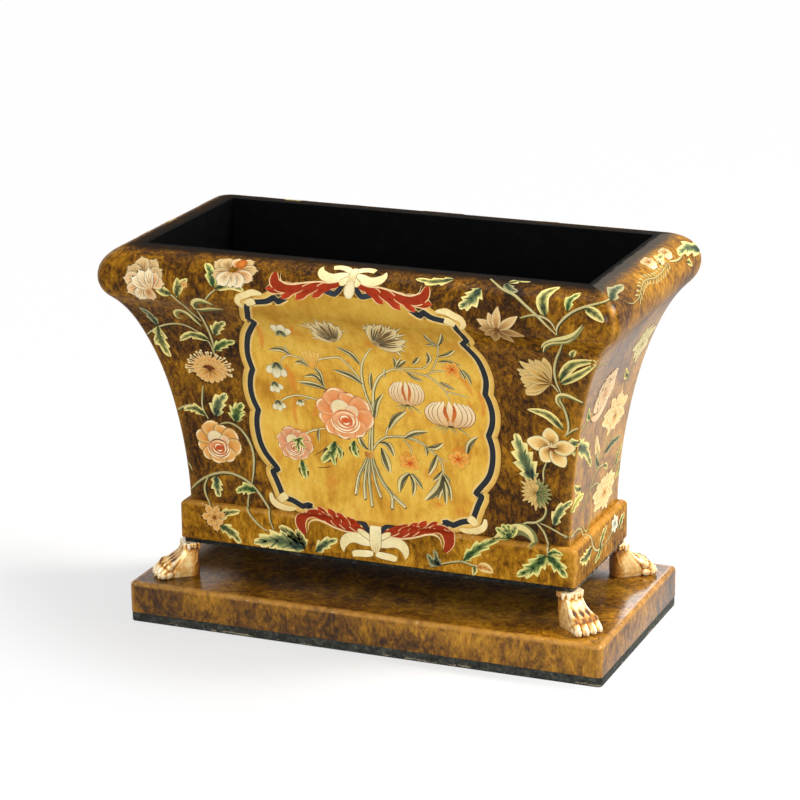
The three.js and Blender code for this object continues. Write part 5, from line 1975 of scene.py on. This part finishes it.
colour = add_mix(glaze, add_ramp(tone, golds), "d0822e")
cracks = add_node(panel_gold, "TexVoronoi", {"feature": "DISTANCE_TO_EDGE"}, Vector=place, Scale=130.0)
crack_mask = add_sum("LESS_THAN", cracks.outputs["Distance"], 0.018)
colour = add_mix(times(crack_mask, 0.22), colour, "8a5a22")
# Painted shade: towards the top, under the rim, the gold is darker and greener.
up = add_node(panel_gold, "SeparateXYZ", Vector=place).outputs["Z"]
colour = add_mix(ramped(up, 0.222, 0.275, 0.0, 0.42), colour, "8e6a22")
feed_all(result, Color=colour, Height=hairs)
painted("painted_panel_", (0, 2), brushed_paint("panel_paint", panel_gold))

# The short ends: pale carnations and a loose blossom among long leaves, a fern garland along the rim.
# The left end, which the photograph doesn't show, is painted as the right one.
LEAF_PEACH = tints("f0d8a0 e6c282 8c8a4c")
LEAF_YELLOW = tints("f2e48c d8c866 8c8c3c")
CARNATION = tints("b4772f e2b872 fbecb4 8e5c24")
PINK_CREAM = tints("b98252 dfb887 f1dcb4 a47646")
MEADOW = tints("9c8446 d2be82 efe4b4 7c6a38")
BLUE_GREY = tints("8c9a84 d8d6b8 f2ecd0 7c8468 38605c")
GARLAND = ((-76, 250), (-66, 247), (-52, 248), (-38, 253), (-24, 255), (-8, 252), (10, 252), (32, 255))
END_STEMS = (
    (2.0, ((-67, 130), (-62, 134), (-52, 137), (-42, 139), (-34, 145))),
    (2.0, ((-34, 56), (-28, 61), (-20, 67), (-12, 76), (-3, 81), (8, 81), (21, 78))),
    (1.8, ((-18, 69), (-8, 70), (2, 68), (8, 64))),
    (1.8, ((-9, 78), (-2, 86), (6, 92), (12, 99), (18, 106))),
    (
        2.3,
        (
            (-63, 43), (-50, 44), (-40, 44), (-33, 41), (-28, 34),
            (-26, 28), (-22, 20), (-14, 14), (-4, 12), (6, 13),
        ),
    ),
    (1.7, ((36, 69), (46, 70), (56, 70.5), (61, 66), (63, 60))),
    (1.5, ((-88, 194), (-78, 191), (-66, 190), (-54, 186), (-47, 184))),
    (1.0, GARLAND),
    (1.7, ((-30, 44), (-22, 36), (-16, 38), (-12, 46))),
    (1.8, ((30, 140), (38, 150), (44, 162))),
    (1.9, ((62, 252), (48, 252), (34, 255))),
    (1.6, ((8, 12), (18, 14), (28, 18))),
)
END_LEAVES = (
    ((-74, 121), (-27, 97), 16, 4, 3, LEAF_BLUE),
    ((-34, 100), (-22, 90), 7, 1, 2, LEAF_CREAM),
    ((-3, 92), (-20, 115), 9, 2, 0, LEAF_PEACH),
    ((-2, 84), (-14, 100), 7, 2, 0, LEAF_GREY),
    ((10, 91), (49, 93), 9, 2, 2, LEAF_GREY),
    ((12, 80), (24, 73), 5, 1, 0, LEAF_CREAM),
    ((-60, 64), (-33, 70), 12, 3, 3, LEAF_YELLOW),
    ((-42, 78), (-60, 86), 7, 2, 0, LEAF_CREAM),
    ((-97, 259), (-61, 262), 11, 3, 2, LEAF_GREY),
    ((104, 246), (56, 255), 14, -4, 3, LEAF_BLUE),
    ((66, 246), (78, 240), 6, 1, 2, LEAF_CREAM),
    ((15, 257), (34, 262), 9, 2, 2, LEAF_CREAM),
    ((-25, 20), (-54, 19), 13, 3, 4, LEAF_CREAM),
    ((-6, 13), (12, 26), 9, 2, 3, LEAF_CREAM),
    ((-2, 14), (-18, 5), 7, 2, 2, LEAF_GREEN),
    ((44, 70), (56, 84), 7, 2, 2, LEAF_GREEN),
    ((60, 66), (46, 58), 6, 1, 2, LEAF_GREEN),
    ((36, 148), (20, 160), 8, 2, 2, LEAF_CREAM),
    ((42, 12), (56, 22), 9, 2, 3, LEAF_BLUE),
    ((-50, 138), (-60, 150), 8, 2, 2, LEAF_GREEN),
)
# The rings of a carnation by their petals' number, start, length and width. The petals of the pale blossom,
# outer and inner, by their angle and reach.
CARNATION_RINGS = ((15, 0.08, 0.46, 0.2), (11, 0.05, 0.36, 0.19), (8, 0.02, 0.26, 0.17))
BLOSSOM_OUTER = ((160, 1.0), (120, 0.9), (80, 0.9), (35, 1.0), (0, 0.9), (200, 0.95), (240, 0.8), (300, 0.8))
BLOSSOM_INNER = (140, 90, 40, 190, -10)


def carnation(x, s, wide, tall, look, layer=6):
    """A full ragged flower: three rings of narrow notched petals, one on another."""
    flat = tall / wide
    for k, (count, start, length, width) in enumerate(CARNATION_RINGS):
        for i in range(count):
            angle = 360.0 * (i + wander.uniform(-0.3, 0.3)) / count + math.degrees(0.2 * k)
            lean, share = squeezed(angle, flat)
            base = away((x, s - 0.04 * k * tall), angle, start * wide, flat)
            reach = length * wide * share * wander.uniform(0.7, 1.22)
            lean += wander.uniform(-9.0, 9.0)
            bend = wander.uniform(-0.12, 0.12)
            here = layer + 2 * k + 0.6 * (i % 3)
            petal(base, lean, reach, width * wide, here, look, bend, point=1.1, full=0.9, fine=5)


def fern(path, size, count, layer=4):
    """A garland of short pale strokes that lean forward from both sides of a rib."""
    places = smooth_path(path, 1.0)
    for k in range(count):
        x, s, dx, ds = places[int((len(places) - 1) * (k + 0.5) / count)]
        for side in (-1, 1):
            tip = (x - size * (0.8 * dx + side * 0.62 * ds), s - size * (0.8 * ds - side * 0.62 * dx))
            middle = ((x + tip[0]) / 2 + 0.8, (s + tip[1]) / 2 + side * 0.8)
            brush([(x, s), middle, tip], 1.7, tints("86804a cfc084"), layer, (0.5, 0.0), 2.2, ramp=0.5)


def open_flower(x, s, r, petals, colours, layer=6, flat=0.85):
    """A flower seen from above: wide petals round a heart of another colour, with small strokes on it."""
    *look, heart = colours
    wide, narrow = 1.05 * r * 3.6 / petals, 0.7 * r * 3.4 / petals
    ring((x, s), 0.16 * r, petals, layer, look, 0.86 * r, wide, flat=flat, notch=0.1)
    ring((x, s), 0.1 * r, petals, layer + 2, look, 0.6 * r, narrow, 90.0 + 180.0 / petals, flat=flat)
    disc((x, s), 0.26 * r, (heart, between(heart, look[0], 0.7)), layer + 4, flat, 0.12, 7)
    for angle in range(30, 390, 60):
        stroke = [away((x, s), angle, 0.05 * r), away((x, s), angle, 0.27 * r, 0.25 / 0.27)]
        brush(stroke, 0.07 * r, (look[0], look[2]), layer + 5, (0.4, 0.0), 4.0)


for width, path in END_STEMS:
    stem(path, width)
for base, tip, width, bend, teeth, look in END_LEAVES:
    leaf(bowed(base, tip, bend), width, 3, look, teeth)
fern(GARLAND[2:], 7, 15)
loose_bloom(4, 264, 9, TUMBLED)
loose_bloom(40, 262, 8, TUMBLED)
ragged_blossom(22, 259, 5, PINK_CREAM)
for k, (angle, share) in enumerate(BLOSSOM_OUTER):
    reach = 26 * share * (1.0 if angle % 180 < 40 else 0.8)
    petal((-24, 152), angle, reach, 19, 6 + 0.6 * k, PINK_CREAM, notch=0.18)
for k, angle in enumerate(BLOSSOM_INNER):
    petal((-24, 151), angle, 14.4, 12, 11 + 0.5 * k, PINK_CREAM, notch=0.15)
lip = [(-48, 138), (-34, 134), (-20, 137), (-10, 147)]
brush(lip, 9.0, PINK_CREAM[1:3], 12, (0.1, 0.2), 2.2, rim=PINK_CREAM[3], ramp=0.5)
for x, s, r in ((-34, 158, 1.6), (-20, 161, 1.8), (-27, 156, 1.4)):
    disc((x, s), r, tints("7c5a30 a07c48"), 14)
carnation(22, 121, 54, 34, CARNATION)
carnation(20, 57, 50, 31, CARNATION)
carnation(48, 175, 46, 30, MEADOW)
open_flower(31, 21, 9, 6, BLUE_GREY)
painted("painted_flowers_", (1, 3), on_ground)
